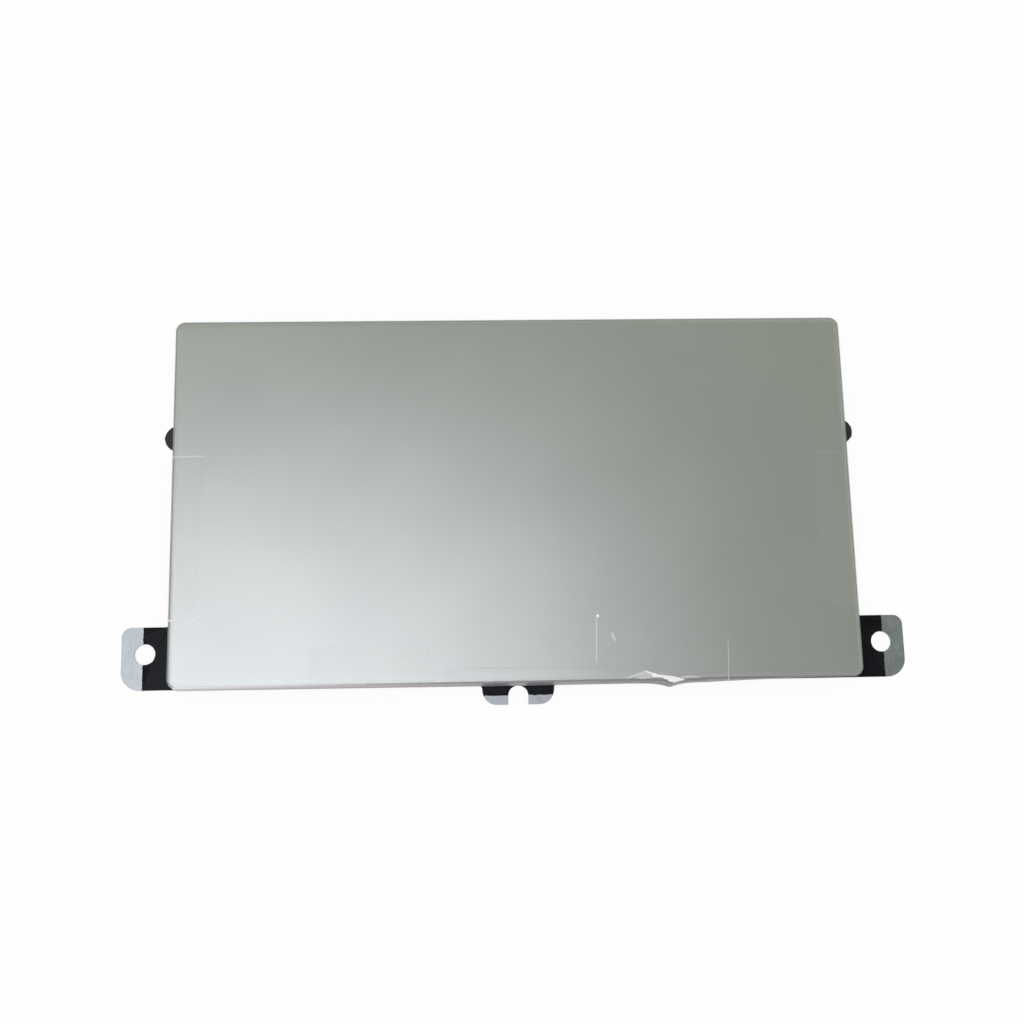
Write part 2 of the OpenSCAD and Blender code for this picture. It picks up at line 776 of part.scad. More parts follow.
// A tape over the edge at X = 0, on the film's top and down its side, with its length along Y
module tape(len) {
    in = film_out + film_clear;
    out = in + tape_t;
    bend = tape_t * tan(22.5);
    rotate([90, 0, 0]) linear_extrude(len, center = true)
        polygon([[-tape_lap, film_z + in], [in - cover_bevel, film_z + in], [in, film_z + in - cover_bevel],
            [in, film_z - tape_fold], [out, film_z - tape_fold], [out, film_z + in - cover_bevel + bend],
            [in - cover_bevel + bend, film_z + out], [-tape_lap, film_z + out]]);
}

module film_tapes() {
    color("white", 0.3) both_sides() {
        translate([side_x, hinge_y + side_tape_start + side_tape_len / 2, 0]) tape(side_tape_len);
        translate([side_x - edge_tape_side, hinge_y, 0]) rotate(-90) tape(edge_tape_len);
    }
}

base_plate();
locating_fork();
insulating_sheet();
hinge_rivets();
hinge_spring_left();
hinge_spring_right();
rubber_stops();
cover_plate();
cover_adhesive();
sensor_board();
touch_controller();
controller_leads();
chip_capacitors();
chip_resistors();
chip_end_caps();
test_points();
connector_housing();
connector_contacts();
connector_anchors();
connector_latch();
switch_base();
switch_terminals();
switch_dome();
switch_cover();
switch_plunger();
protective_film();
film_tapes();
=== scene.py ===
# %% [markdown]
# A notebook computer's click pad, taken out of its case. The CAD model gives every solid, its size and
# the body that it moves with. This lesson dresses those solids: it adds soft edges, clear film with a
# wrinkle, a circuit board's copper, and the finish of each material.

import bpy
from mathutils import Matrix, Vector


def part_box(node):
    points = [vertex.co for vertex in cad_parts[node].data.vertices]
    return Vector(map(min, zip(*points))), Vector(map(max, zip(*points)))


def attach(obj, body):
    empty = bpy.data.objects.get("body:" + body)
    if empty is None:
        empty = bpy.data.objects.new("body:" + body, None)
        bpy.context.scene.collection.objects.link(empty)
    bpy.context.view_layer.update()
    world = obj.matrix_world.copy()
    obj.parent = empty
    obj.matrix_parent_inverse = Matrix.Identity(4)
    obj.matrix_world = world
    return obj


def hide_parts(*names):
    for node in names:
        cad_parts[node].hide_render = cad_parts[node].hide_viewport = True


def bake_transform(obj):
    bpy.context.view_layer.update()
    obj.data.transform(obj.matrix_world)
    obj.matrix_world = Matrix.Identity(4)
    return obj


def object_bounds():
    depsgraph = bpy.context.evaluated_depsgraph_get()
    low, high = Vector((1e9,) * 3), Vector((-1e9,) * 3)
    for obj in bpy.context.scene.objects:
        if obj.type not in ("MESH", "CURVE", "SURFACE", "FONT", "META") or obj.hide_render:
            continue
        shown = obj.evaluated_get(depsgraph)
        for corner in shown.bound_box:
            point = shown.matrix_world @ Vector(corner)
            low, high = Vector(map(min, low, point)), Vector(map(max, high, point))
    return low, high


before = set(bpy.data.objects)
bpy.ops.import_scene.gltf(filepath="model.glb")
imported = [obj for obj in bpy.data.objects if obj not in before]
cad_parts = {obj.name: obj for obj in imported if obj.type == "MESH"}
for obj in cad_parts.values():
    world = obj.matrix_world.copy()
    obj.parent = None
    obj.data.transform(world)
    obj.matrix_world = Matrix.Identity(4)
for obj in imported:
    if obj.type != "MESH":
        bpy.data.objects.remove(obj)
cad_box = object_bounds()

# %% Modules and units
from collections import namedtuple
from math import cos, exp, pi, radians, sin

import bmesh
import bpy
from mathutils import Matrix, Vector, noise

MM = 0.001
pad_lo, pad_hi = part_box("cover_plate")
pad_mid = (pad_lo + pad_hi) / 2
pad_w, pad_d = (pad_hi - pad_lo).xy / MM
print("touch plate, mm:", round(pad_w, 2), round(pad_d, 2), "top at", round(pad_hi.z / MM, 2))

# %% [markdown]
# The camera comes first. It stands almost straight above the pad, a little toward the hinge edge, as the
# photographer did. Its place is written in the camera's own terms: how far the pad is turned about each
# axis, and where the pad's middle then lies in front of the lens. Turning that round gives the camera's
# place in the part's frame.

# %% Camera
LENS_MM = 49.63
SENSOR_MM = 36.0
NEAREST_SEEN = 0.01
PAD_TURN = [radians(angle) for angle in (-11.928, 2.589, 0.788)]
PAD_PLACE = Vector((0.41, 2.59, -228.52)) * MM

turn = Matrix.Identity(3)
for angle, axis in zip(PAD_TURN, "XYZ"):
    turn = Matrix.Rotation(angle, 3, axis) @ turn
seen_middle = Vector((pad_mid.x, pad_mid.y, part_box("protective_film")[1].z))

camera_data = bpy.data.cameras.new("photo_camera")
camera_data.lens = LENS_MM
camera_data.sensor_width = SENSOR_MM
camera_data.clip_start = NEAREST_SEEN
camera = bpy.data.objects.new("photo_camera", camera_data)
place = seen_middle - turn.transposed() @ PAD_PLACE
camera.matrix_world = Matrix.Translation(place) @ turn.transposed().to_4x4()
bpy.context.scene.collection.objects.link(camera)
bpy.context.scene.camera = camera
print("camera at, mm:", [round(c / MM, 1) for c in place])

# %% [markdown]
# Two small tools serve every material. Screens store colour as sRGB hex codes, but a shader counts light,
# so one function turns a code into linear values. The other adds a node with its settings, and for each
# input takes either a plain value or the output to link.

# %% Colour and node tools


def colour(code):
    """An sRGB hex code as linear RGBA."""
    parts = [int(code[i:i + 2], 16) / 255 for i in (1, 3, 5)]
    return [p / 12.92 if p <= 0.04045 else ((p + 0.055) / 1.055) ** 2.4 for p in parts] + [1.0]


def add(tree, kind, inputs=None, **settings):
    """A new node: settings are its own options, inputs are values or outputs to link."""
    made = tree.nodes.new(kind)
    for name, value in settings.items():
        setattr(made, name, value)
    for name, value in (inputs or {}).items():
        if isinstance(value, bpy.types.NodeSocket):
            tree.links.new(value, made.inputs[name])
        else:
            made.inputs[name].default_value = value
    return made


def new_finish(name, **shader_inputs):
    """A material with one Principled shader. Returns it, its tree, the shader and Object coordinates."""
    material = bpy.data.materials.new(name)
    material.use_nodes = True
    tree = material.node_tree
    tree.nodes.clear()
    inputs = {name.replace("_", " "): value for name, value in shader_inputs.items()}
    shader = add(tree, "ShaderNodeBsdfPrincipled", inputs)
    add(tree, "ShaderNodeOutputMaterial", {"Surface": shader.outputs["BSDF"]})
    place = add(tree, "ShaderNodeTexCoord").outputs["Object"]
    return material, tree, shader, place


def ramp(tree, factor, stops):
    """A colour ramp over factor, with a hex code at each stop."""
    made = add(tree, "ShaderNodeValToRGB", {"Fac": factor})
    points = made.color_ramp.elements
    while len(points) < len(stops):
        points.new(0.5)
    for point, (where, code) in zip(points, stops):
        point.position = where
        point.color = colour(code)
    return made.outputs["Color"]


# %% [markdown]
# One large soft lamp lights the part. It hangs over the left front, where its mirror image falls on the
# pad's near left corner, so a satin surface grades from bright there to grey at the far right. A window
# or a ring of lamps could give soft light too, but one square lamp keeps that single slow gradient.

# %% Lamp
LAMP_SPOT = Vector((-0.22, -0.095, 0.95))
LAMP_AIM = Vector((-0.22, -0.095, 0.0))
LAMP_SIZE = 0.60
LAMP_POWER = 4.0
LAMP_TINT = "#efedff"

lamp_data = bpy.data.lights.new("softbox_left", "AREA")
lamp_data.size = LAMP_SIZE
lamp_data.energy = LAMP_POWER
lamp_data.color = colour(LAMP_TINT)[:3]
lamp = bpy.data.objects.new("softbox_left", lamp_data)
lamp.location = LAMP_SPOT
lamp.rotation_euler = (LAMP_AIM - LAMP_SPOT).to_track_quat("-Z", "Y").to_euler()
bpy.context.scene.collection.objects.link(lamp)
print("lamp of", LAMP_SIZE, "m at", list(lamp.location))

# %% [markdown]
# Round the part are white walls with a darker ceiling, and all of it is plain white to the camera. The
# walls are very slightly warm green, as painted rooms are, and so is the sheen that they leave on the
# silver.

# %% White surround
HORIZON = 0.87
CEILING = 0.04
CEILING_FROM = 0.8
WALL_TINT = "#fafff0"

world = bpy.data.worlds.new("white_surround")
world.use_nodes = True
bpy.context.scene.world = world
sky = world.node_tree
sky.nodes.clear()
path = add(sky, "ShaderNodeLightPath").outputs
height = add(sky, "ShaderNodeSeparateXYZ", {"Vector": add(sky, "ShaderNodeTexCoord").outputs["Generated"]})
dim = add(sky, "ShaderNodeMapRange", {"Value": height.outputs["Z"], "From Min": CEILING_FROM,
                                      "From Max": 1.0, "To Min": HORIZON, "To Max": CEILING})
level = add(sky, "ShaderNodeMix", {0: path["Is Camera Ray"], 2: dim.outputs[0], 3: 1.0})
tint = add(sky, "ShaderNodeMix", {0: path["Is Camera Ray"], 6: colour(WALL_TINT), 7: colour("#ffffff")},
           data_type="RGBA")
light = add(sky, "ShaderNodeBackground", {"Color": tint.outputs[2], "Strength": level.outputs[0]})
add(sky, "ShaderNodeOutputWorld", {"Surface": light.outputs[0]})
bpy.context.scene.view_settings.view_transform = "Standard"
print("surround:", world.name)

# %% [markdown]
# The floor is a sheet of pale paper. It looks white to the camera and in reflections, but part of what it
# shows is real light, so it keeps the part's shadow. From below it is clear, so that the back can be
# looked at.

# %% Floor
FLOOR_SIDE = 4.0
FLOOR_DROP = 0.05 * MM
FLOOR_GLOW = 0.9

paper = bpy.data.materials.new("white_paper_floor")
paper.use_nodes = True
tree = paper.node_tree
tree.nodes.clear()
path = add(tree, "ShaderNodeLightPath").outputs
matte = add(tree, "ShaderNodeBsdfDiffuse", {"Color": colour("#fafafa")})
glow = add(tree, "ShaderNodeEmission", {"Color": colour("#ffffff"), "Strength": 1.0})
mirrored = add(tree, "ShaderNodeMath", {0: path["Is Glossy Ray"], 1: path["Is Transmission Ray"]},
               operation="MAXIMUM")
looked_at = add(tree, "ShaderNodeMath", {0: path["Is Camera Ray"], 1: mirrored.outputs[0]},
                operation="MAXIMUM")
shown = add(tree, "ShaderNodeMath", {0: looked_at.outputs[0], 1: FLOOR_GLOW}, operation="MULTIPLY")
front = add(tree, "ShaderNodeMixShader", {0: shown.outputs[0], 1: matte.outputs[0], 2: glow.outputs[0]})
behind = add(tree, "ShaderNodeNewGeometry").outputs["Backfacing"]
spread = add(tree, "ShaderNodeMath", {0: path["Is Diffuse Ray"], 1: path["Is Shadow Ray"]},
             operation="MAXIMUM")
clear = add(tree, "ShaderNodeMath", {0: behind, 1: spread.outputs[0]}, operation="MAXIMUM")
floor_mix = add(tree, "ShaderNodeMixShader", {0: clear.outputs[0], 1: front.outputs[0],
                                              2: add(tree, "ShaderNodeBsdfTransparent").outputs[0]})
add(tree, "ShaderNodeOutputMaterial", {"Surface": floor_mix.outputs[0]})

bm = bmesh.new()
bmesh.ops.create_grid(bm, x_segments=1, y_segments=1, size=FLOOR_SIDE / 2)
bmesh.ops.translate(bm, verts=bm.verts, vec=(0, 0, cad_box[0].z - FLOOR_DROP))
floor_mesh = bpy.data.meshes.new("floor")
bm.to_mesh(floor_mesh)
bm.free()
floor = bpy.data.objects.new("floor", floor_mesh)
floor_mesh.materials.append(paper)
bpy.context.scene.collection.objects.link(floor)
print("floor at, mm:", round(floor_mesh.vertices[0].co.z / MM, 3))

# %% [markdown]
# The touch surface is etched cover glass over silver paint. Etching leaves a fine even grain, which
# spreads every reflection into a soft sheen, and the paint's flakes make it grade like metal. A noise
# finer than a tenth of a millimetre would vanish at this distance, so the grain is drawn at 0.12 mm, and
# a slow cloud varies the sheen a little.

# %% Etched silver glass
GRAIN_MM = 0.12
CLOUD_MM = 18.0

silver_glass, tree, shader, spot = new_finish("etched_silver_glass", Metallic=0.9, Roughness=0.42)
cloud = add(tree, "ShaderNodeTexNoise", {"Vector": spot, "Scale": 1 / (CLOUD_MM * MM), "Detail": 3.0})
tone = ramp(tree, cloud.outputs["Fac"], [(0.25, "#a0a59d"), (0.75, "#a7aba3")])
tree.links.new(tone, shader.inputs["Base Color"])
grain = add(tree, "ShaderNodeTexNoise", {"Vector": spot, "Scale": 1 / (GRAIN_MM * MM), "Detail": 2.0})
sheen = add(tree, "ShaderNodeMapRange", {"Value": grain.outputs["Fac"], "To Min": 0.28, "To Max": 0.36})
tree.links.new(sheen.outputs[0], shader.inputs["Roughness"])
etch = add(tree, "ShaderNodeBump", {"Height": grain.outputs["Fac"], "Strength": 0.12,
                                    "Distance": 0.01 * MM})
tree.links.new(etch.outputs["Normal"], shader.inputs["Normal"])
print("finish:", silver_glass.name)

# %% [markdown]
# Every new piece ends the same way: its mesh goes into an object at the origin, faces that meet at a
# blunt angle are shaded as one smooth surface, the piece takes its finishes and hangs on the body that
# carries it, and the CAD solids it stands for are hidden. A Weighted Normal modifier keeps large faces
# flat, which a bevel's smooth shading would otherwise spoil with blotches. One function does all that, so
# that the cells that follow can speak of shape alone.

# %% Finish a piece
SMOOTH_UP_TO = radians(38)
FACE_WEIGHT = 100


def place_piece(name, bm, materials, body=None, stands_for=()):
    """Turns a bmesh into a piece of the object that rides on body."""
    mesh = bpy.data.meshes.new(name)
    bm.to_mesh(mesh)
    bm.free()
    mesh.shade_smooth()
    mesh.set_sharp_from_angle(angle=SMOOTH_UP_TO)
    for material in materials:
        mesh.materials.append(material)
    piece = bpy.data.objects.new(name, mesh)
    bpy.context.scene.collection.objects.link(piece)
    level = piece.modifiers.new("level_faces", "WEIGHTED_NORMAL")
    level.keep_sharp = True
    level.weight = FACE_WEIGHT
    if body:
        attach(piece, body)
    if stands_for:
        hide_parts(*stands_for)
    print(name, "faces:", len(mesh.polygons))
    return piece


# %% [markdown]
# The plate and its film are both flat slabs with round corners and a rolled rim. A slab is a rectangle
# whose corners are bevelled, then raised, and its rim is made by small insets. The same three helpers
# make both.

# %% Slabs with a rolled rim
LEVEL_STEP = 0.1


def rounded_sheet(bm, w, d, r, z, steps=10):
    """A flat rectangle with round corners, in millimetres about the pad's middle. Returns its face."""
    made = bmesh.ops.create_grid(bm, x_segments=1, y_segments=1, size=0.5)
    bmesh.ops.scale(bm, vec=(w * MM, d * MM, 1), verts=made["verts"])
    bmesh.ops.translate(bm, vec=(pad_mid.x, pad_mid.y, z * MM), verts=made["verts"])
    bmesh.ops.bevel(bm, geom=made["verts"], offset=r * MM, segments=steps, profile=0.5, material=-1,
                    affect="VERTICES", offset_type="OFFSET")
    return max(bm.faces, key=lambda f: f.calc_area())


def raise_face(bm, face, rise):
    """Extrudes one face upward, with walls round it. Returns the raised face."""
    made = bmesh.ops.extrude_face_region(bm, geom=[face])["geom"]
    lifted = [v for v in made if isinstance(v, bmesh.types.BMVert)]
    bmesh.ops.translate(bm, vec=(0, 0, rise * MM), verts=lifted)
    return next(f for f in made if isinstance(f, bmesh.types.BMFace))


def roll_edge(bm, face, width, drop, steps=7):
    """Rounds the rim of a raised flat face: in by width and up by drop, along a quarter of an ellipse."""
    for i in range(steps):
        a, b = pi / 2 * i / steps, pi / 2 * (i + 1) / steps
        inward = width * (cos(a) - cos(b))
        upward = drop * (sin(b) - sin(a))
        bmesh.ops.inset_region(bm, faces=[face], thickness=inward * MM, depth=0, use_even_offset=True,
                               use_boundary=True)
        bmesh.ops.translate(bm, vec=(0, 0, upward * MM), verts=face.verts)
    bmesh.ops.inset_region(bm, faces=[face], thickness=LEVEL_STEP * MM, depth=0, use_even_offset=True,
                           use_boundary=True)
    return face


# %% [markdown]
# The touch plate is one flat slab whose rim is ground and polished to a soft roll, about as wide as the
# plate is thick. A bevel with equal legs would look like a hard line, so the rim is made by insetting the
# top face in small steps along an ellipse. The last, level step keeps the large face's shading flat.

# %% Touch plate
RIM_W = 0.9
RIM_DROP = 0.14
PLATE_R = 1.5

plate_z0, plate_z1 = pad_lo.z / MM, pad_hi.z / MM
bm = bmesh.new()
top = rounded_sheet(bm, pad_w, pad_d, PLATE_R, plate_z0)
top = raise_face(bm, top, plate_z1 - plate_z0 - RIM_DROP)
top = roll_edge(bm, top, RIM_W, RIM_DROP)
bmesh.ops.recalc_face_normals(bm, faces=bm.faces)
place_piece("touch_plate", bm, [silver_glass], "pad", ["cover_plate"])

# %% [markdown]
# The film on the touch plate is clear plastic, stretched over the rim and folded down its side. Glass
# shaders would throw dark shadows on the plate below, so the film is a mostly transparent gloss. Its
# highlights and shade are painted into more finishes: white highlights on the wrinkle, paler sheens, grey
# shade on the rim and a dark crease line. The white ones have a high index of refraction, to shine more.

# %% Film finishes, with painted highlights and shade
FILM_WAVE_MM = 7.0
GLOSSY_WHITE_IOR = 2.1


def film_finish(name, code, alpha, roughness, ior=1.5):
    """Clear plastic film, with a slow waviness that breaks up its reflections."""
    material, tree, shader, spot = new_finish(name, Base_Color=colour(code), Alpha=alpha,
                                              Roughness=roughness, IOR=ior)
    wave = add(tree, "ShaderNodeTexNoise", {"Vector": spot, "Scale": 1 / (FILM_WAVE_MM * MM),
                                            "Detail": 2.0})
    gloss = add(tree, "ShaderNodeMapRange", {"Value": wave.outputs["Fac"], "To Min": roughness - 0.05,
                                             "To Max": roughness + 0.08})
    tree.links.new(gloss.outputs[0], shader.inputs["Roughness"])
    lift = add(tree, "ShaderNodeBump", {"Height": wave.outputs["Fac"], "Strength": 0.2,
                                        "Distance": 0.05 * MM})
    tree.links.new(lift.outputs["Normal"], shader.inputs["Normal"])
    return material


clear_film = film_finish("clear_polyester_film", "#f1f3f6", 0.03, 0.16)
# Painted highlight: the faint white line up the wrinkle's ridge.
ridge_highlight_film = film_finish("ridge_highlight_film", "#fbfcff", 0.45, 0.20)
# Painted highlight: the wrinkle's white crest and a speck at a tape's corner.
white_highlight_film = film_finish("painted_white_highlight_film", "#fcf8ff", 0.85, 0.30, GLOSSY_WHITE_IOR)
# Painted shade: the dark line along a crease.
crease_shade_film = film_finish("crease_shade_film", "#8d9298", 0.05, 0.30)
# Painted sheen: the pale band where the film rolls over the rim.
rim_sheen_film = film_finish("rim_sheen_film", "#e3dfe7", 0.06, 0.30)
# The hem's painted light and shade are set in the next cell.
hem_film = film_finish("film_hem", "#908e92", 0.80, 0.25)
# Painted shade: the grey band on the rim's steep side.
rim_shade_film = film_finish("film_rim_shade", "#a5a4aa", 0.35, 0.25)
# A scratched spot, and painted sheen on the wrinkle's slope and tail.
smear_and_sheen_film = film_finish("smear_and_sheen_film", "#ffffff", 0.22, 0.40, GLOSSY_WHITE_IOR)
# A faintly paler band between the crease and the near edge.
paler_band_film = film_finish("paler_band_film", "#ffffff", 0.05, 0.30, GLOSSY_WHITE_IOR)
FILM = [clear_film, ridge_highlight_film, white_highlight_film, crease_shade_film, rim_sheen_film, smear_and_sheen_film, hem_film,
        rim_shade_film, paler_band_film]
CLEAR, RIDGE_HIGHLIGHT, WHITE_HIGHLIGHT, CREASE_SHADE, RIM_SHEEN, SMEAR_AND_SHEEN, HEM, RIM_SHADE, PALER_BAND = range(len(FILM))
print("finishes:", [finish.name for finish in FILM])

# %% [markdown]
# The hem's light and shade are painted into its colour. At its left end it lies close to the silver rim,
# and its upper part is painted paler there. Farther right it hangs free over the dark gap and is painted
# darker, darkest at the right end, where little light reaches it. The colour changes slowly along the
# edge, with one ramp for its top and one for its bottom.

# %% Painted light and shade along the hem
TAUT_X = -60.0
FREE_X = -8.0
DIM_X = 48.0
HEM_FADE = 1.4

tree = hem_film.node_tree
place = add(tree, "ShaderNodeTexCoord")
along_hem = add(tree, "ShaderNodeSeparateXYZ", {"Vector": place.outputs["Object"]})
painted_light_along_hem = add(tree, "ShaderNodeMapRange", {"Value": along_hem.outputs["X"], "From Min": TAUT_X * MM,
                                         "From Max": DIM_X * MM})
free_at = (FREE_X - TAUT_X) / (DIM_X - TAUT_X)
# Painted light and shade: paler at the left end and at the top, darker to the right.
lower_hem_painted_light_and_shade = ramp(tree, painted_light_along_hem.outputs[0], [(0.0, "#a39ea6"), (free_at, "#8e8792"), (1.0, "#6f6972")])
upper_hem_painted_light_and_shade = ramp(tree, painted_light_along_hem.outputs[0], [(0.0, "#fffaff"), (free_at, "#9a949e"), (1.0, "#6f6972")])
raised = add(tree, "ShaderNodeMapRange", {"Value": along_hem.outputs["Z"],
                                          "From Min": (plate_z1 - HEM_FADE) * MM,
                                          "From Max": plate_z1 * MM})
hem_painted_light_and_shade = add(tree, "ShaderNodeMix", {0: raised.outputs[0], 6: lower_hem_painted_light_and_shade, 7: upper_hem_painted_light_and_shade}, data_type="RGBA")
tree.links.new(hem_painted_light_and_shade.outputs[2], tree.nodes["Principled BSDF"].inputs["Base Color"])
print("hem tone runs from x =", TAUT_X, "to", DIM_X)

# %% [markdown]
# The film starts as the plate's own shape, a hair larger and open at the bottom. Along the near edge it
# hangs loose: its hem reaches lower there and leans out. A wrinkle leaves that edge, turns at a corner
# and runs back to it, and beside it the film bulges out past the rim. One function says where a point of
# the film ends up, so that the tapes, which lie on the film, can follow it. Straight cuts across the flat
# film first give the wrinkled part a fine mesh.

# %% How the film hangs
FILM_GAP = 0.01
FILM_T = 0.08
FILM_FOLD = 0.5
HEM_DROP = 1.8
LEAN_OUT = 0.34
LOOSE_X = (-200.0, -2.0, 30.0, 48.0)
RIDGE = [Vector(p) for p in ((17.2, -29.75), (20.1, -28.7), (22.1, -29.5), (26.1, -30.05), (29.0, -30.3))]
RIDGE_H = 0.28
RIDGE_W = 0.45
BULGE_X = 24.1
BULGE_W = 1.7
BULGE_OUT = 0.68
BULGE_FROM = 0.35
BULGE_POWER = 1.3
NEAR_STRIP = 1.0
roll_z = plate_z1 - RIM_DROP


def off_line(point, line):
    """How far a flat point is from a line of points, and how far along it its foot lies, from 0 to 1."""
    best = (float("inf"), 0.0)
    for i, (a, b) in enumerate(zip(line, line[1:])):
        t = max(0.0, min(1.0, (point - a).dot(b - a) / (b - a).length_squared))
        best = min(best, ((point - a.lerp(b, t)).length, (i + t) / (len(line) - 1)))
    return best


def on_pad(co):
    """A vertex's place on the pad in millimetres from its middle."""
    return Vector(((co.x - pad_mid.x) / MM, (co.y - pad_mid.y) / MM))


def between(value, low, high):
    """Goes from 0 at low to 1 at high, and stays there."""
    return max(0.0, min(1.0, (value - low) / (high - low)))


def loose(x):
    """How loose the film's near edge is at x, from 0 to 1."""
    return between(x, LOOSE_X[0], LOOSE_X[1]) * between(x, LOOSE_X[3], LOOSE_X[2])


def hang(v):
    """Moves a vertex of the flat-lying film or of a tape to where the real one hangs."""
    p = on_pad(v.co)
    near_side = between(p.y, -pad_d / 2 + NEAR_STRIP, -pad_d / 2)
    lean = LEAN_OUT * loose(p.x) * between(v.co.z / MM, roll_z, roll_z - HEM_DROP) * near_side
    outmost = between(p.y, -pad_d / 2 + BULGE_FROM, -pad_d / 2)
    bulge = BULGE_OUT * exp(-(abs(p.x - BULGE_X) / BULGE_W) ** BULGE_POWER) * outmost
    v.co.y -= (lean + bulge) * MM
    v.co.z += RIDGE_H * MM * exp(-(off_line(p, RIDGE)[0] / RIDGE_W) ** 2)


# %% [markdown]
# Where the film is bent, its light and shade are painted on as other finishes. The fold over the rim has
# a faint painted sheen and its steep side a grey painted shade, both a little lilac; the loose hem is dull,
# with painted light and shade. The wrinkle's crest and a speck at a tape's corner have white painted
# highlights, a line up the ridge a fainter one, and the wrinkle's slope and tail a painted sheen. A crease
# is a line of painted shade, and the band between it and the edge is a little paler. A spot where the film
# was scratched is pale. Each face takes its finish from where its middle lies.

# %% Finishes across the film
CUTS_X = ((-54.0, 54.0, 2.0), (12.6, 16.2, 0.1), (16.4, 30.0, 0.1))
CUTS_Y = ((-30.4, -28.0, 0.1), (-24.2, -22.2, 0.1), (-20.1, -19.4, 0.1))
# The line of the wrinkle's white painted highlight, and its half width at the ends and at its widest.
CREST = [Vector(p) for p in ((20.1, -28.7), (21.0, -29.05), (22.1, -29.45), (23.2, -29.6), (24.7, -29.8),
                             (26.1, -30.0))]
CREST_W = (0.10, 0.20)
CREST_SKEW = 1.6
RIDGE_HIGHLIGHT_W = 0.09
MARK_SKEW = 0.7
CREASE = [Vector(p) for p in ((-12.2, -27.65), (12.6, -28.0))]
CREASE_W = 0.16

# Marks in the film, one scratch and the rest painted highlights: a line, its half width and its finish
SPECK = [Vector(p) for p in ((12.80, -19.50), (12.90, -20.05))]
SMEAR = [Vector(p) for p in ((14.85, -22.40), (15.60, -24.00))]
LOBE = [Vector(p) for p in ((21.0, -29.20), (22.4, -29.60))]
SLOPE = [Vector(p) for p in ((18.3, -29.45), (22.2, -29.30))]
TAIL = [Vector(p) for p in ((25.4, -29.80), (29.2, -29.80))]
MARKS = [(SPECK, 0.13, WHITE_HIGHLIGHT), (SMEAR, 0.30, SMEAR_AND_SHEEN), (LOBE, 0.30, WHITE_HIGHLIGHT), (SLOPE, 0.50, SMEAR_AND_SHEEN),
         (TAIL, 0.28, SMEAR_AND_SHEEN)]
ON_CUT = 1e-7


def cut_across(bm, point, normal):
    """Cuts the whole mesh along an upright plane through a point on the pad, in millimetres."""
    bmesh.ops.bisect_plane(bm, geom=bm.verts[:] + bm.edges[:] + bm.faces[:], dist=ON_CUT,
                           plane_co=(pad_mid.x + point[0] * MM, pad_mid.y + point[1] * MM, 0),
                           plane_no=(normal[0], normal[1], 0))


def film_zone(p):
    """Which of the film's finishes a place on its flat part has."""
    away, along = off_line(p, CREST)
    if away < CREST_W[0] + (CREST_W[1] - CREST_W[0]) * sin(pi * along ** CREST_SKEW):
        return WHITE_HIGHLIGHT
    if off_line(p, RIDGE[:2])[0] < RIDGE_HIGHLIGHT_W:
        return RIDGE_HIGHLIGHT
    for line, half, finish in MARKS:
        away, along = off_line(p, line)
        if away < half * sin(pi * along ** MARK_SKEW):
            return finish
    across, over = off_line(p, CREASE)
    if not 0 < over < 1:
        return CLEAR
    if across < CREASE_W / 2:
        return CREASE_SHADE
    return PALER_BAND if p.y < CREASE[1].y else CLEAR


print("marks in the film:", len(MARKS))

# %% [markdown]
# Now the film itself is made. It is cut while it lies flat, each face gets its finish, and only then is
# every vertex moved to where it hangs. A simulation of cloth would fold this stiff film in places of its
# own choice, so the moves are written out. At the end the sheet gets its thickness.

# %% Clear film
HEM_ROLL = (0.25, 0.12)
STEEP = 0.975
ROLLED = 0.999
UPRIGHT = 0.5
NEAR_RIM = 0.2
AT_HEM = 1e-6

bm = bmesh.new()
hem = rounded_sheet(bm, pad_w + 2 * FILM_GAP, pad_d + 2 * FILM_GAP, PLATE_R + FILM_GAP,
                    plate_z1 - FILM_FOLD)
top = raise_face(bm, hem, FILM_FOLD + FILM_GAP - RIM_DROP)
roll_edge(bm, top, RIM_W, RIM_DROP)
hem_z = (plate_z1 - FILM_FOLD) * MM
underside = [f for f in bm.faces if f.calc_center_median().z < hem_z + AT_HEM]
bmesh.ops.delete(bm, geom=underside, context="FACES_ONLY")
bmesh.ops.recalc_face_normals(bm, faces=bm.faces)
for start, stop, step in CUTS_X:
    for i in range(round((stop - start) / step) + 1):
        cut_across(bm, (start + i * step, 0), (1, 0))
for start, stop, step in CUTS_Y:
    for i in range(round((stop - start) / step) + 1):
        cut_across(bm, (0, start + i * step), (0, 1))
crease_run = (CREASE[1] - CREASE[0]).normalized()
crease_side = Vector((-crease_run.y, crease_run.x))
for side in (-0.5, 0.5):
    cut_across(bm, CREASE[0] + crease_side * CREASE_W * side, crease_side)
for end in CREASE:
    cut_across(bm, end, crease_run)

for f in bm.faces:
    p = on_pad(f.calc_center_median())
    zone = film_zone(p)
    roll = HEM_ROLL[0] + (HEM_ROLL[1] - HEM_ROLL[0]) * between(p.x, TAUT_X, FREE_X)
    in_hem = p.y < -pad_d / 2 + roll * loose(p.x)
    if f.normal.y < -UPRIGHT or in_hem and zone != WHITE_HIGHLIGHT:
        f.material_index = HEM
    # Painted shade on the rim's steep faces and painted sheen on its rolled faces.
    elif zone in (CLEAR, PALER_BAND) and f.normal.z < ROLLED:
        f.material_index = RIM_SHADE if f.normal.z < STEEP else RIM_SHEEN
    else:
        f.material_index = zone
for v in bm.verts:
    p = on_pad(v.co)
    if v.co.z < hem_z + AT_HEM and p.y < -pad_d / 2 + NEAR_RIM:
        v.co.z -= (HEM_DROP - FILM_FOLD + RIM_DROP) * loose(p.x) * MM
    hang(v)
bmesh.ops.solidify(bm, geom=bm.faces[:], thickness=-FILM_T * MM)
bmesh.ops.recalc_face_normals(bm, faces=bm.faces)
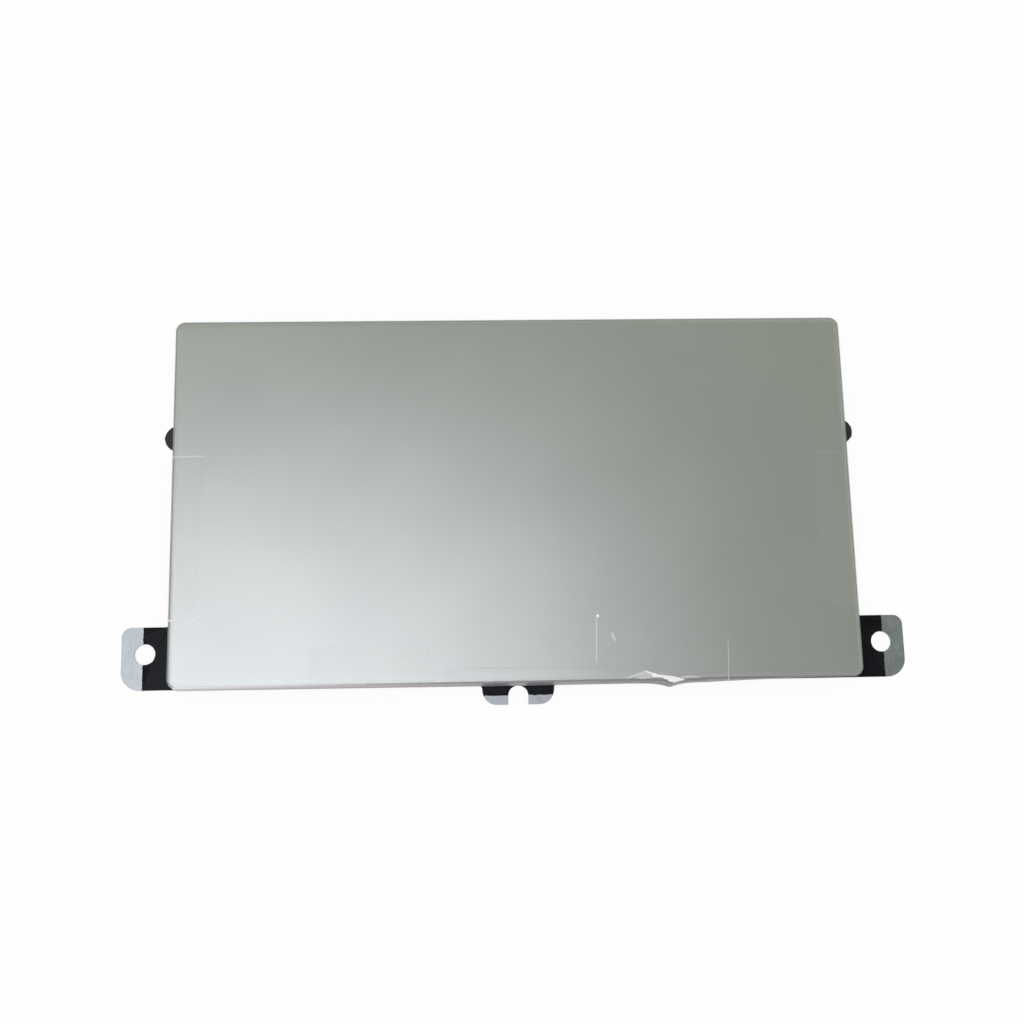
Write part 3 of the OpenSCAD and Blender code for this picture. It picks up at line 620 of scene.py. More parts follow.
film = place_piece("clear_film", bm, FILM, "pad", ["protective_film"])

# %% [markdown]
# Four clear tapes hold the film. Each is a strip that lies on the film, bends over the rim and sticks to
# the pad's side. A strip is one line of points across the edge, drawn out along it in short steps so that
# it can follow the wrinkle. Only its outer face is made, because the inner one sticks to the film and is
# never seen, and each clear layer costs light. Its cut ends catch light, and that glint is painted: a
# narrow band there has a paler finish.

# %% Clear tapes
TAPE_T = 0.05
TAPE_FOLD = 1.2
TAPE_STEP = 0.5
LAP_STEPS = 24
ROLL_STEPS = 6
clear_tape = film_finish("clear_tape", "#f4f2ec", 0.02, 0.22)
# Painted glints on the tapes' cut ends, from the strongest to the faintest.
strongest_end_glint = film_finish("strongest_painted_tape_end_glint", "#ffffff", 0.6, 0.30, GLOSSY_WHITE_IOR)
strong_end_glint = film_finish("strong_painted_tape_end_glint", "#ffffff", 0.48, 0.30, GLOSSY_WHITE_IOR)
soft_end_glint = film_finish("soft_painted_tape_end_glint", "#ffffff", 0.32, 0.30, GLOSSY_WHITE_IOR)
faint_end_glint = film_finish("faint_painted_tape_end_glint", "#ffffff", 0.1, 0.35)
TAPE = [clear_tape, strongest_end_glint, strong_end_glint, soft_end_glint, faint_end_glint]
PLAIN, STRONGEST_GLINT, STRONG_GLINT, SOFT_GLINT, FAINT_GLINT = range(len(TAPE))

# Each tape lies on an edge that is turned about the pad. It starts and ends along that edge with a lap
# at both, and leans askew to the right on each millimetre inward. Its end lines have a width and a painted
# glint each, and the first one's glint starts only shown_from inward.
Tape = namedtuple("Tape", "turned start end lap_start lap_end askew line_w shown_from "
                          "start_finish end_finish")
TAPES = [
    Tape(0, -33.0, -14.1, 6.2, 6.6, 0.0, 0.09, 0.0, FAINT_GLINT, FAINT_GLINT),
    Tape(0, 12.2, 33.35, 10.4, 6.0, 0.035, 0.09, 2.7, STRONGEST_GLINT, STRONGEST_GLINT),
    Tape(-90, -7.35, 19.55, 5.2, 4.2, 0.0, 0.38, 0.0, SOFT_GLINT, STRONG_GLINT),
    Tape(90, -18.6, 6.8, 5.0, 6.0, 0.0, 0.09, 0.0, FAINT_GLINT, FAINT_GLINT),
]


def tape_profile(lap):
    """A tape's line across the edge at Y = 0: flat part, roll over the rim and fold down the side."""
    gap = FILM_GAP + FILM_T + TAPE_T
    top_z = plate_z1 + gap
    line = [(lap + (RIM_W - lap) * i / LAP_STEPS, top_z) for i in range(LAP_STEPS + 1)]
    for i in range(1, ROLL_STEPS + 1):
        a = pi / 2 * i / ROLL_STEPS
        line.append((RIM_W - (RIM_W + gap) * sin(a), top_z - RIM_DROP * (1 - cos(a))))
    return line + [(-gap, plate_z1 - TAPE_FOLD)]


bm = bmesh.new()
for tape in TAPES:
    reach = pad_d / 2 if tape.turned == 0 else pad_w / 2
    turned = Matrix.Rotation(radians(tape.turned), 4, "Z")
    round_pad = Matrix.Translation((pad_mid.x, pad_mid.y, 0)) @ turned
    length = tape.end - tape.start
    count = round(length / TAPE_STEP)
    middle = [tape.start + length * i / count for i in range(1, count)]
    first_line = tape.start + tape.line_w
    row = None
    for x in [tape.start, first_line] + middle + [tape.end - tape.line_w, tape.end]:
        lap = tape.lap_start + (tape.lap_end - tape.lap_start) * (x - tape.start) / length
        spots = [round_pad @ Vector(((x + tape.askew * y) * MM, (y - reach) * MM, z * MM))
                 for y, z in tape_profile(lap)]
        if row is None:
            verts = [bm.verts.new(spot) for spot in spots]
            row = [bm.edges.new(pair) for pair in zip(verts, verts[1:])]
            continue
        made = bmesh.ops.extrude_edge_only(bm, edges=row)["geom"]
        verts = [g for g in made if isinstance(g, bmesh.types.BMVert)]
        for v, spot in zip(verts, spots):
            v.co = spot
        row = [g for g in made if isinstance(g, bmesh.types.BMEdge) and all(v in verts for v in g.verts)]
        for f in (g for g in made if isinstance(g, bmesh.types.BMFace)):
            inward = (round_pad.inverted() @ f.calc_center_median()).y / MM + reach
            if x == first_line and inward > tape.shown_from:
                f.material_index = tape.start_finish
            else:
                f.material_index = tape.end_finish if x == tape.end else PLAIN
for v in bm.verts:
    hang(v)
bmesh.ops.recalc_face_normals(bm, faces=bm.faces)
place_piece("clear_tapes", bm, TAPE, "pad", ["film_tapes"])

# %% [markdown]
# The bracket is stamped from galvanised steel sheet. Zinc freezes in faint crystals, the spangle, a
# millimetre or two across, rolling leaves fine streaks across the pad's depth, and handling dulls it all
# to a soft grey sheen. A Voronoi texture gives each crystal its own shade of grey, and a noise that is
# stretched along Y draws the streaks.

# %% Galvanised steel
SPANGLE_MM = 1.1
STREAK_MM = 0.22
STREAK_STRETCH = 0.08

galvanised, tree, shader, spot = new_finish("galvanised_steel", Metallic=1.0, Roughness=0.36)
crystal = add(tree, "ShaderNodeTexVoronoi", {"Vector": spot, "Scale": 1 / (SPANGLE_MM * MM)})
shade = add(tree, "ShaderNodeSeparateColor", {"Color": crystal.outputs["Color"]})
pulled = add(tree, "ShaderNodeMapping", {"Vector": spot, "Scale": (1, STREAK_STRETCH, 1)})
streak = add(tree, "ShaderNodeTexNoise", {"Vector": pulled.outputs["Vector"], "Scale": 1 / (STREAK_MM * MM),
                                          "Detail": 4.0})
both = add(tree, "ShaderNodeMix", {0: 0.7, 2: shade.outputs[0], 3: streak.outputs["Fac"]})
zinc = ramp(tree, both.outputs[0], [(0.25, "#878d8b"), (0.75, "#979c9a")])
tree.links.new(zinc, shader.inputs["Base Color"])
dull = add(tree, "ShaderNodeMapRange", {"Value": both.outputs[0], "To Min": 0.33, "To Max": 0.41})
tree.links.new(dull.outputs[0], shader.inputs["Roughness"])
pits = add(tree, "ShaderNodeBump", {"Height": streak.outputs["Fac"], "Strength": 0.15,
                                    "Distance": 0.01 * MM})
tree.links.new(pits.outputs["Normal"], shader.inputs["Normal"])
print("finish:", galvanised.name)

# %% [markdown]
# A solid from CAD arrives as loose triangles with knife-sharp edges. To soften it, its mesh is copied,
# its doubled points are merged, flat neighbours are joined, and every sharp edge gets a small bevel. The
# CAD mesh itself stays as it is and is hidden.

# %% Copy a solid with soft edges
MERGE = 1e-7
WELD = 1e-6
FLAT = radians(1)
SHARP = radians(35)


def solid_copy(*nodes):
    """A merged bmesh copy of CAD nodes, with flat neighbours joined."""
    bm = bmesh.new()
    for node in nodes:
        bm.from_mesh(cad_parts[node].data)
    bmesh.ops.remove_doubles(bm, verts=bm.verts, dist=MERGE)
    bmesh.ops.dissolve_limit(bm, angle_limit=FLAT, verts=bm.verts, edges=bm.edges)
    return bm


def soften(bm, width, segments=2):
    """Bevels the sharp edges of a closed mesh by width millimetres."""
    sharp = [e for e in bm.edges if e.is_manifold and e.calc_face_angle(0) > SHARP]
    bmesh.ops.bevel(bm, geom=sharp, offset=width * MM, offset_type="OFFSET", segments=segments, profile=0.5,
                    material=-1, affect="EDGES", clamp_overlap=True)
    bmesh.ops.dissolve_degenerate(bm, dist=WELD, edges=bm.edges)
    bmesh.ops.remove_doubles(bm, verts=bm.verts, dist=WELD)
    return bm


# %% [markdown]
# The plate and its fork are one stamping, so their copies are joined into one mesh. The fork's root is
# first moved a little into the plate, because a union of solids that only touch is easily left as two.

# %% Stamped bracket
ROOT_IN = 0.3
STAMPED_EDGE = 0.06


def combined(first, second, operation):
    """Joins two closed meshes with a Boolean, as a bmesh."""
    objects = []
    for bm in (first, second):
        mesh = bpy.data.meshes.new("to_combine")
        bm.to_mesh(mesh)
        bm.free()
        objects.append(bpy.data.objects.new("to_combine", mesh))
        bpy.context.scene.collection.objects.link(objects[-1])
    boolean = objects[0].modifiers.new("boolean", "BOOLEAN")
    boolean.operation = operation
    boolean.solver = "EXACT"
    boolean.object = objects[1]
    result = bmesh.new()
    result.from_object(objects[0], bpy.context.evaluated_depsgraph_get())
    for made in objects:
        bpy.data.objects.remove(made)
    bmesh.ops.remove_doubles(result, verts=result.verts, dist=WELD)
    bmesh.ops.dissolve_limit(result, angle_limit=FLAT, verts=result.verts, edges=result.edges)
    return result


plate = solid_copy("base_plate")
fork = solid_copy("locating_fork")
root_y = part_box("locating_fork")[1].y
root = [v for v in fork.verts if v.co.y > root_y - MERGE]
bmesh.ops.translate(fork, vec=(0, ROOT_IN * MM, 0), verts=root)
bm = combined(plate, fork, "UNION")
soften(bm, STAMPED_EDGE)
place_piece("stamped_bracket", bm, [galvanised], "bracket", ["base_plate", "locating_fork"])

# %% [markdown]
# The bracket's upper side is covered with a black polyester sheet that keeps the board from shorting on
# the steel. It is cut by a worn die, so its free edges on the tabs and the fork are a little uneven. Its
# finish is a soft gloss, and on the two ears, which stick out and are touched, it is rubbed to a matt
# dark grey.

# %% Black polyester
RUB_MM = 3.0
GRIT_MM = 0.25


def polyester(name, dark, light, gloss):
    """Black polyester sheet with rubbed patches."""
    material, tree, shader, spot = new_finish(name, Roughness=0.4, Specular_IOR_Level=gloss)
    rub = add(tree, "ShaderNodeTexNoise", {"Vector": spot, "Scale": 1 / (RUB_MM * MM), "Detail": 5.0})
    tone = ramp(tree, rub.outputs["Fac"], [(0.35, dark), (0.75, light)])
    tree.links.new(tone, shader.inputs["Base Color"])
    worn = add(tree, "ShaderNodeMapRange", {"Value": rub.outputs["Fac"], "To Min": 0.28, "To Max": 0.5})
    tree.links.new(worn.outputs[0], shader.inputs["Roughness"])
    grit = add(tree, "ShaderNodeTexNoise", {"Vector": spot, "Scale": 1 / (GRIT_MM * MM)})
    dimples = add(tree, "ShaderNodeBump", {"Height": grit.outputs["Fac"], "Strength": 0.15,
                                           "Distance": 0.01 * MM})
    tree.links.new(dimples.outputs["Normal"], shader.inputs["Normal"])
    return material


black_sheet = polyester("black_polyester_sheet", "#05070b", "#0d1016", 0.12)
rubbed_sheet = polyester("rubbed_black_sheet", "#2a2b2d", "#343538", 0.2)
print("finishes:", black_sheet.name, rubbed_sheet.name)

# %% [markdown]
# The sheet's free edges get many points, and a noise moves them a little in and out. The edges are
# divided one by one, because one call for them all would join the two edges beside a screw hole and close
# its notch. The ears are then parted from the sheet by a cut, so that they can take the rubbed finish.

# %% Insulating sheet
RAGGED = 0.09
RAGGED_CUTS = 40
WANDER_MM = 0.5
EDGE_SEEN = 1e-6
EARS_UP_TO = 20.0

bm = solid_copy("insulating_sheet")
sheet_lo, sheet_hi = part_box("insulating_sheet")


def on_free_edge(co):
    """True on the sheet's straight edges across the tabs and across the fork."""
    across_tabs = co.x < sheet_lo.x + EDGE_SEEN or co.x > sheet_hi.x - EDGE_SEEN
    return across_tabs or co.y < sheet_lo.y + EDGE_SEEN


free = [e for e in bm.edges if all(on_free_edge(v.co) for v in e.verts)
        and abs(e.verts[0].co.z - e.verts[1].co.z) < EDGE_SEEN]
corners = set(bm.verts)
for edge in free:
    bmesh.ops.subdivide_edges(bm, edges=[edge], cuts=RAGGED_CUTS)
for v in set(bm.verts) - corners:
    wander = noise.noise(v.co.xy.to_3d() / (WANDER_MM * MM)) * RAGGED * MM
    if v.co.y < sheet_lo.y + EDGE_SEEN:
        v.co.y += wander
    else:
        v.co.x += wander
bmesh.ops.triangulate(bm, faces=bm.faces)
for side in (-1, 1):
    cut_across(bm, (side * pad_w / 2, 0), (1, 0))
for f in bm.faces:
    p = on_pad(f.calc_center_median())
    f.material_index = 1 if abs(p.x) > pad_w / 2 and 0 < p.y < EARS_UP_TO else 0
place_piece("black_sheet", bm, [black_sheet, rubbed_sheet], "bracket", ["insulating_sheet"])

# %% [markdown]
# Two leaf springs carry the pad and act as its hinge. They are cut from rolled spring steel, and rolling
# leaves fine lines along the strip. Each spring is riveted to the bracket at one end and bears on the
# board at the other, and in between it bends. Its copy rides on no body and stays in the part's frame.

# %% Rolled spring steel and leaf springs
ROLL_LINE_MM = 0.09
ROLL_STRETCH = 0.04
SPRING_EDGE = 0.04

spring_steel, tree, shader, spot = new_finish("rolled_spring_steel", Metallic=1.0, Roughness=0.3)
drawn = add(tree, "ShaderNodeMapping", {"Vector": spot, "Scale": (1, ROLL_STRETCH, 1)})
lines = add(tree, "ShaderNodeTexNoise", {"Vector": drawn.outputs["Vector"],
                                         "Scale": 1 / (ROLL_LINE_MM * MM), "Detail": 3.0})
steel_tone = ramp(tree, lines.outputs["Fac"], [(0.3, "#8b8a86"), (0.7, "#a6a5a1")])
tree.links.new(steel_tone, shader.inputs["Base Color"])
rolled = add(tree, "ShaderNodeMapRange", {"Value": lines.outputs["Fac"], "To Min": 0.22, "To Max": 0.40})
tree.links.new(rolled.outputs[0], shader.inputs["Roughness"])
scored = add(tree, "ShaderNodeBump", {"Height": lines.outputs["Fac"], "Strength": 0.2,
                                      "Distance": 0.01 * MM})
tree.links.new(scored.outputs["Normal"], shader.inputs["Normal"])

for side in ("left", "right"):
    node = "hinge_spring_" + side
    lo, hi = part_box(node)
    bm = soften(solid_copy(node), SPRING_EDGE)
    spring = place_piece("leaf_spring_" + side, bm, [spring_steel], None, [node])
    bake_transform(spring)

# %% [markdown]
# The rest of the metal is small. Rivets are cold-headed aluminium with a worn, bright crown. Leads, end
# caps, anchors and the switch's cover are tinned, which gives a soft white metal with a frosty grain.
# Contacts and test points have a thin gold plate, smooth and warm. One function makes all three, from two
# tones, a roughness and a grain size.

# %% Small metals


def plated(name, dark, light, roughness, grain_mm):
    """A metal finish whose tone and gloss vary with a fine grain."""
    material, tree, shader, spot = new_finish(name, Metallic=1.0, Roughness=roughness)
    frost = add(tree, "ShaderNodeTexNoise", {"Vector": spot, "Scale": 1 / (grain_mm * MM), "Detail": 4.0})
    tone = ramp(tree, frost.outputs["Fac"], [(0.3, dark), (0.7, light)])
    tree.links.new(tone, shader.inputs["Base Color"])
    dulled = add(tree, "ShaderNodeMapRange", {"Value": frost.outputs["Fac"], "To Min": roughness - 0.08,
                                              "To Max": roughness + 0.10})
    tree.links.new(dulled.outputs[0], shader.inputs["Roughness"])
    relief = add(tree, "ShaderNodeBump", {"Height": frost.outputs["Fac"], "Strength": 0.2,
                                          "Distance": 0.005 * MM})
    tree.links.new(relief.outputs["Normal"], shader.inputs["Normal"])
    return material


rivet_metal = plated("headed_aluminium", "#a9abad", "#c9cbcc", 0.30, 0.3)
tinned = plated("matte_tin_plate", "#b3b2ad", "#d0cfca", 0.34, 0.12)
gold = plated("thin_gold_plate", "#c79a45", "#e0b868", 0.26, 0.15)
print("finishes:", rivet_metal.name, tinned.name, gold.name)

# %% [markdown]
# The plastics and the rubber are all moulded or cast: chip resin is filled with ground silica and looks
# like fine slate, connector plastic shows pale flow marks, and rubber is matt with a dusty bloom. They
# differ only in tone, gloss and grain, so they also share one function.

# %% Moulded plastics and rubber
MOTTLE_GRAINS = 8


def moulded(name, dark, light, roughness, grain_mm, relief_mm):
    """A plastic finish: a slow mottle in its tone and a grain in its gloss and relief."""
    material, tree, shader, spot = new_finish(name, Roughness=roughness, IOR=1.5)
    mottle = add(tree, "ShaderNodeTexNoise", {"Vector": spot, "Scale": 1 / (MOTTLE_GRAINS * grain_mm * MM),
                                              "Detail": 5.0})
    tone = ramp(tree, mottle.outputs["Fac"], [(0.3, dark), (0.7, light)])
    tree.links.new(tone, shader.inputs["Base Color"])
    fine = add(tree, "ShaderNodeTexNoise", {"Vector": spot, "Scale": 1 / (grain_mm * MM), "Detail": 2.0})
    satin = add(tree, "ShaderNodeMapRange", {"Value": fine.outputs["Fac"], "To Min": roughness - 0.08,
                                             "To Max": roughness + 0.08})
    tree.links.new(satin.outputs[0], shader.inputs["Roughness"])
    skin = add(tree, "ShaderNodeBump", {"Height": fine.outputs["Fac"], "Strength": 0.3,
                                        "Distance": relief_mm * MM})
    tree.links.new(skin.outputs["Normal"], shader.inputs["Normal"])
    return material


stop_rubber = moulded("moulded_rubber", "#17181a", "#242527", 0.75, 0.15, 0.02)
black_tape = moulded("black_adhesive_sheet", "#0d0d0e", "#171718", 0.65, 0.10, 0.01)
chip_resin = moulded("silica_filled_epoxy", "#17181a", "#26272a", 0.55, 0.08, 0.01)
ceramic = moulded("fired_ceramic", "#7e6142", "#987853", 0.50, 0.10, 0.005)
ivory_resin = moulded("ivory_connector_resin", "#cfc5aa", "#e2dac2", 0.45, 0.12, 0.008)
latch_resin = moulded("black_latch_resin", "#141416", "#222224", 0.42, 0.12, 0.008)
plunger_resin = moulded("brown_plunger_resin", "#4b3020", "#63432e", 0.40, 0.12, 0.008)
print("finishes:", stop_rubber.name, chip_resin.name, ceramic.name, ivory_resin.name)

# %% [markdown]
# Most of the small solids have the right shape already and only need soft edges, so each is copied and
# bevelled by the radius its making gives: a mould's corner, a sheared lead's burr. The test points, the
# contacts and the adhesive are so thin that a bevel wouldn't show, and there the CAD solid stays and only
# takes the new finish.

# %% Small solids with soft edges
SMALL = [
    ("rivets", "hinge_rivets", 0.05, rivet_metal, "bracket", "rivet_metal"),
    ("corner_stops", "rubber_stops", 0.22, stop_rubber, "bracket", "stop_rubber"),
    ("chip_leads", "controller_leads", 0.02, tinned, "pad", "tinned_metal"),
    ("capacitors", "chip_capacitors", 0.03, ceramic, "pad", "ceramic"),
    ("resistors", "chip_resistors", 0.02, chip_resin, "pad", "black_resin"),
    ("end_caps", "chip_end_caps", 0.04, tinned, "pad", "tinned_metal"),
    ("cable_connector", "connector_housing", 0.06, ivory_resin, "pad", "ivory_plastic"),
    ("connector_feet", "connector_anchors", 0.03, tinned, "pad", "tinned_metal"),
    ("cable_latch", "connector_latch", 0.05, latch_resin, "latch", "black_plastic"),
    ("switch_body", "switch_base", 0.08, chip_resin, "pad", "black_resin"),
    ("switch_legs", "switch_terminals", 0.02, tinned, "pad", "tinned_metal"),
    ("switch_frame", "switch_cover", 0.04, tinned, "pad", "tinned_metal"),
    ("switch_button", "switch_plunger", 0.06, plunger_resin, "plunger", "brown_plastic"),
]
for name, node, width, finish, body, slot in SMALL:
    place_piece(name, soften(solid_copy(node), width), [finish], body, [node])

for node, finish in (("cover_adhesive", black_tape), ("test_points", gold), ("connector_contacts", gold)):
    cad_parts[node].material_slots[0].material = finish

# %% [markdown]
# Inside the switch a spring steel dome snaps flat when the plunger is pushed, and that is the click. Its
# rim stays with the pad and its crown follows the plunger, but the copy rides on no body and stays in the
# part's frame.

# %% Switch dome
lo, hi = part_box("switch_dome")
dome = place_piece("switch_snap_dome", solid_copy("switch_dome"), [spring_steel], None,
                   ["switch_dome"])
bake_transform(dome)

# %% [markdown]
# The controller is a moulded chip. A round dent marks its first lead, left by an ejector pin of the
# mould. The dent is a shallow cylinder taken away from the copy with a Boolean, before the edges are
# softened.

# %% Touch controller
CHIP_EDGE = 0.07
DENT_R = 0.45
DENT_IN = 1.0
DENT_DEEP = 0.08
DENT_SIDES = 32

chip_lo, chip_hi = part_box("touch_controller")
dent = bmesh.new()
dent_at = Matrix.Translation((chip_lo.x + DENT_IN * MM, chip_hi.y - DENT_IN * MM, chip_lo.z))
bmesh.ops.create_cone(dent, cap_ends=True, segments=DENT_SIDES, radius1=DENT_R * MM, radius2=DENT_R * MM,
                      depth=2 * DENT_DEEP * MM, matrix=dent_at)
bm = combined(solid_copy("touch_controller"), dent, "DIFFERENCE")
soften(bm, CHIP_EDGE)
place_piece("controller_chip", bm, [chip_resin], "pad", ["touch_controller"])

# %% [markdown]
# The sensor board is woven glass in resin, coated with green solder mask. Under the mask lies a copper
# ground net of crossed lines, which shows through as a paler lattice. A Brick texture without offset,
# turned by 45 degrees, draws it: its mortar is the copper. The sawn edges are bare, so they show the
# yellow laminate and its layers of glass.

# %% Circuit board
NET_MM = 1.6
NET_LINE_MM = 0.35
FLOW_MM = 2.5
GLASS_MM = 0.12
LAYER_STRETCH = 0.1
BOARD_EDGE = 0.03
LEVEL = 0.5

solder_mask, tree, shader, spot = new_finish("green_solder_mask", Roughness=0.28, IOR=1.5)
turned = add(tree, "ShaderNodeMapping", {"Vector": spot, "Rotation": (0, 0, radians(45))})
net = add(tree, "ShaderNodeTexBrick", {"Vector": turned.outputs["Vector"], "Scale": 1 / (NET_MM * MM),
                                       "Brick Width": 1.0, "Row Height": 1.0, "Mortar Smooth": 0.15,
                                       "Mortar Size": NET_LINE_MM / NET_MM / 2, "Mortar": colour("#1b5c3b"),
                                       "Color1": colour("#0c3b26"), "Color2": colour("#0e4029")},
          offset=0.0)
tree.links.new(net.outputs["Color"], shader.inputs["Base Color"])
flow = add(tree, "ShaderNodeTexNoise", {"Vector": spot, "Scale": 1 / (FLOW_MM * MM), "Detail": 3.0})
cured = add(tree, "ShaderNodeMapRange", {"Value": flow.outputs["Fac"], "To Min": 0.20, "To Max": 0.36})
tree.links.new(cured.outputs[0], shader.inputs["Roughness"])
raised = add(tree, "ShaderNodeBump", {"Height": net.outputs["Fac"], "Strength": 0.5, "Distance": 0.03 * MM})
tree.links.new(raised.outputs["Normal"], shader.inputs["Normal"])

laminate, tree, shader, spot = new_finish("sawn_glass_laminate", Roughness=0.6, IOR=1.5)
layered = add(tree, "ShaderNodeMapping", {"Vector": spot, "Scale": (LAYER_STRETCH, LAYER_STRETCH, 1)})
layers = add(tree, "ShaderNodeTexNoise", {"Vector": layered.outputs["Vector"], "Scale": 1 / (GLASS_MM * MM),
                                          "Detail": 3.0})
glass_tone = ramp(tree, layers.outputs["Fac"], [(0.3, "#8d8a4d"), (0.7, "#b8b27c")])
tree.links.new(glass_tone, shader.inputs["Base Color"])
sawn = add(tree, "ShaderNodeBump", {"Height": layers.outputs["Fac"], "Strength": 0.4,
                                    "Distance": 0.02 * MM})
tree.links.new(sawn.outputs["Normal"], shader.inputs["Normal"])

bm = soften(solid_copy("sensor_board"), BOARD_EDGE, 1)
for f in bm.faces:
    f.material_index = 0 if abs(f.normal.z) > LEVEL else 1
place_piece("sensor_board_green", bm, [solder_mask, laminate], "pad", ["sensor_board"])

# %% [markdown]
# Copper tracks run under the mask from the controller to the test points and to the connector. They are
# raised by the copper's thickness, so they are real strips here. A strip is two parallel lines of points,
# joined by bridging them and then thickened. Tracks turn by 45 degrees, as a layout program draws them.

# %% Strips on the board
CORNER = 0.5
board_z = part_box("sensor_board")[0].z / MM


def strip(bm, path, width):
    """A flat strip along a path of points on the board's lower face, in millimetres."""
    points = [Vector(p) for p in path]
    ways = [(b - a).normalized() for a, b in zip(points, points[1:])]
    rows = ([], [])
    for i, point in enumerate(points):
        before, after = ways[max(i - 1, 0)], ways[min(i, len(ways) - 1)]
        mitre = (before + after).orthogonal() / (1 + before.dot(after))
        for row, side in zip(rows, (-0.5, 0.5)):
            spot = point + mitre * width * side
            row.append(bm.verts.new((spot.x * MM, spot.y * MM, board_z * MM)))
    edges = [bm.edges.new(pair) for row in rows for pair in zip(row, row[1:])]
    bmesh.ops.bridge_loops(bm, edges=edges)


def thicken(bm, thickness):
    """Gives the flat strips in a bmesh a thickness in millimetres, away from the board."""
    for f in bm.faces:
        f.normal_update()
        if f.normal.z > 0:
            f.normal_flip()
    bmesh.ops.solidify(bm, geom=bm.faces[:], thickness=-thickness * MM)
    bmesh.ops.recalc_face_normals(bm, faces=bm.faces)


def cornered(path):
    """The same path with each square corner cut at 45 degrees."""
    points = [Vector(p) for p in path]
    made = [points[0]]
    for before, corner, after in zip(points, points[1:], points[2:]):
        cut = min(CORNER, (before - corner).length / 2, (after - corner).length / 2)
        made += [corner + (end - corner).normalized() * cut for end in (before, after)]
    return made + [points[-1]]


print("the board's lower face is at, mm:", round(board_z, 3))

# %% [markdown]
# Tracks start and end at leads, feet and caps, and a CAD node holds many of these. Each is a separate
# island of linked points, so a walk along the edges finds one island after another, and its flat box says
# where it stands.

# %% Where the parts stand
LEAD_REACH = 0.7
LEAD_W = 0.4


def islands(node):
    """The flat box of every separate solid in a CAD node, in millimetres, from left to right."""
    bm = solid_copy(node)
    waiting = set(bm.verts)
    boxes = []
    while waiting:
        group, rim = set(), [waiting.pop()]
        while rim:
            v = rim.pop()
            group.add(v)
            near = {e.other_vert(v) for e in v.link_edges} & waiting
            waiting -= near
            rim += near
        xs, ys = [v.co.x / MM for v in group], [v.co.y / MM for v in group]
        boxes.append((min(xs), min(ys), max(xs), max(ys)))
    bm.free()
    return sorted(boxes)


leads = islands("controller_leads")
lower_leads = [b for b in leads if b[3] < chip_lo.y / MM + LEAD_REACH and b[2] - b[0] < LEAD_W]
points = islands("test_points")
contacts = islands("connector_contacts")
resistors = sorted(islands("chip_resistors"), key=lambda b: b[1])
print("lower leads:", len(lower_leads), "test points:", len(points), "contacts:", len(contacts))

# %% [markdown]
# The tracks fan out. Those that go left turn in order from the left, and those that go right from the
# right, each one a step further from the chip, so that none crosses another.

# %% Lay the tracks
TRACK_W = 0.22
TRACK_T = 0.035
FAN_START = 1.0
FAN_STEP = 0.42
VIA_COLUMNS = (-42.0, -36.0, 36.0, 42.0)
VIA_ROWS = 9
VIA_START = -12.0
VIA_PITCH = 3.0
ROW_END = 24.0
RISE_START = 1.0
TRACK_LAP = 0.06
LEAD_LAP = 0.15
FOOT_LAP = 0.3
CAP_OUT = 0.3
TURN_OUT = 1.0
SHORT_RUN = 1.5
SHORT_STEP = 0.9

covered_copper = moulded("mask_over_copper", "#1f6642", "#27744c", 0.28, 0.15, 0.004)

bm = bmesh.new()
for i, point in enumerate(points):
    lead = lower_leads[i + 1]
    x0, x1 = (lead[0] + lead[2]) / 2, (point[0] + point[2]) / 2
    y0, y1 = lead[1], point[3] - TRACK_LAP
    level = y0 - FAN_START - FAN_STEP * (i if x1 < x0 else len(points) - 1 - i)
    strip(bm, cornered([(x0, y0 + LEAD_LAP), (x0, level), (x1, level), (x1, y1)]), TRACK_W)
for i, foot in enumerate(contacts[:len(resistors)]):
    x0, y0 = (foot[0] + foot[2]) / 2, foot[3]
    box = resistors[i]
    x1, y1 = box[2] + CAP_OUT, (box[1] + box[3]) / 2
    level = y0 + RISE_START + FAN_STEP * i
    turn_x = x1 + TURN_OUT + 2 * FAN_STEP * (len(resistors) - 1 - i)
    route = [(x0, y0 - FOOT_LAP), (x0, level), (turn_x, level), (turn_x, y1), (x1, y1)]
    strip(bm, cornered(route), TRACK_W)
via_spots = []
for i, foot in enumerate(contacts[len(resistors):]):
    x0, y0 = (foot[0] + foot[2]) / 2, foot[3]
    end = (x0 + SHORT_RUN + SHORT_STEP * i, y0 + RISE_START + SHORT_STEP * (len(resistors) - i))
    strip(bm, cornered([(x0, y0 - FOOT_LAP), (x0, end[1]), end]), TRACK_W)
    via_spots.append(end)
for x in VIA_COLUMNS:
    for i in range(VIA_ROWS):
        y = VIA_START + VIA_PITCH * i + (VIA_PITCH / 2 if abs(x) == max(VIA_COLUMNS) else 0)
        strip(bm, [(x, y), (ROW_END if x > 0 else -ROW_END, y)], TRACK_W)
        via_spots.append((x, y))
thicken(bm, TRACK_T)
place_piece("copper_tracks", bm, [covered_copper], "pad")

# %% [markdown]
# Every lead, foot and end cap is soldered to a tinned pad a little larger than itself. A pad is the same
# flat strip as a track, as wide as the foot is deep, and thinner than the foot that stands on it.

# %% Solder pads
PAD_T = 0.02
PAD_RIM = 0.07
SOLDERED = ("controller_leads", "chip_end_caps", "connector_contacts", "connector_anchors",
            "switch_terminals")

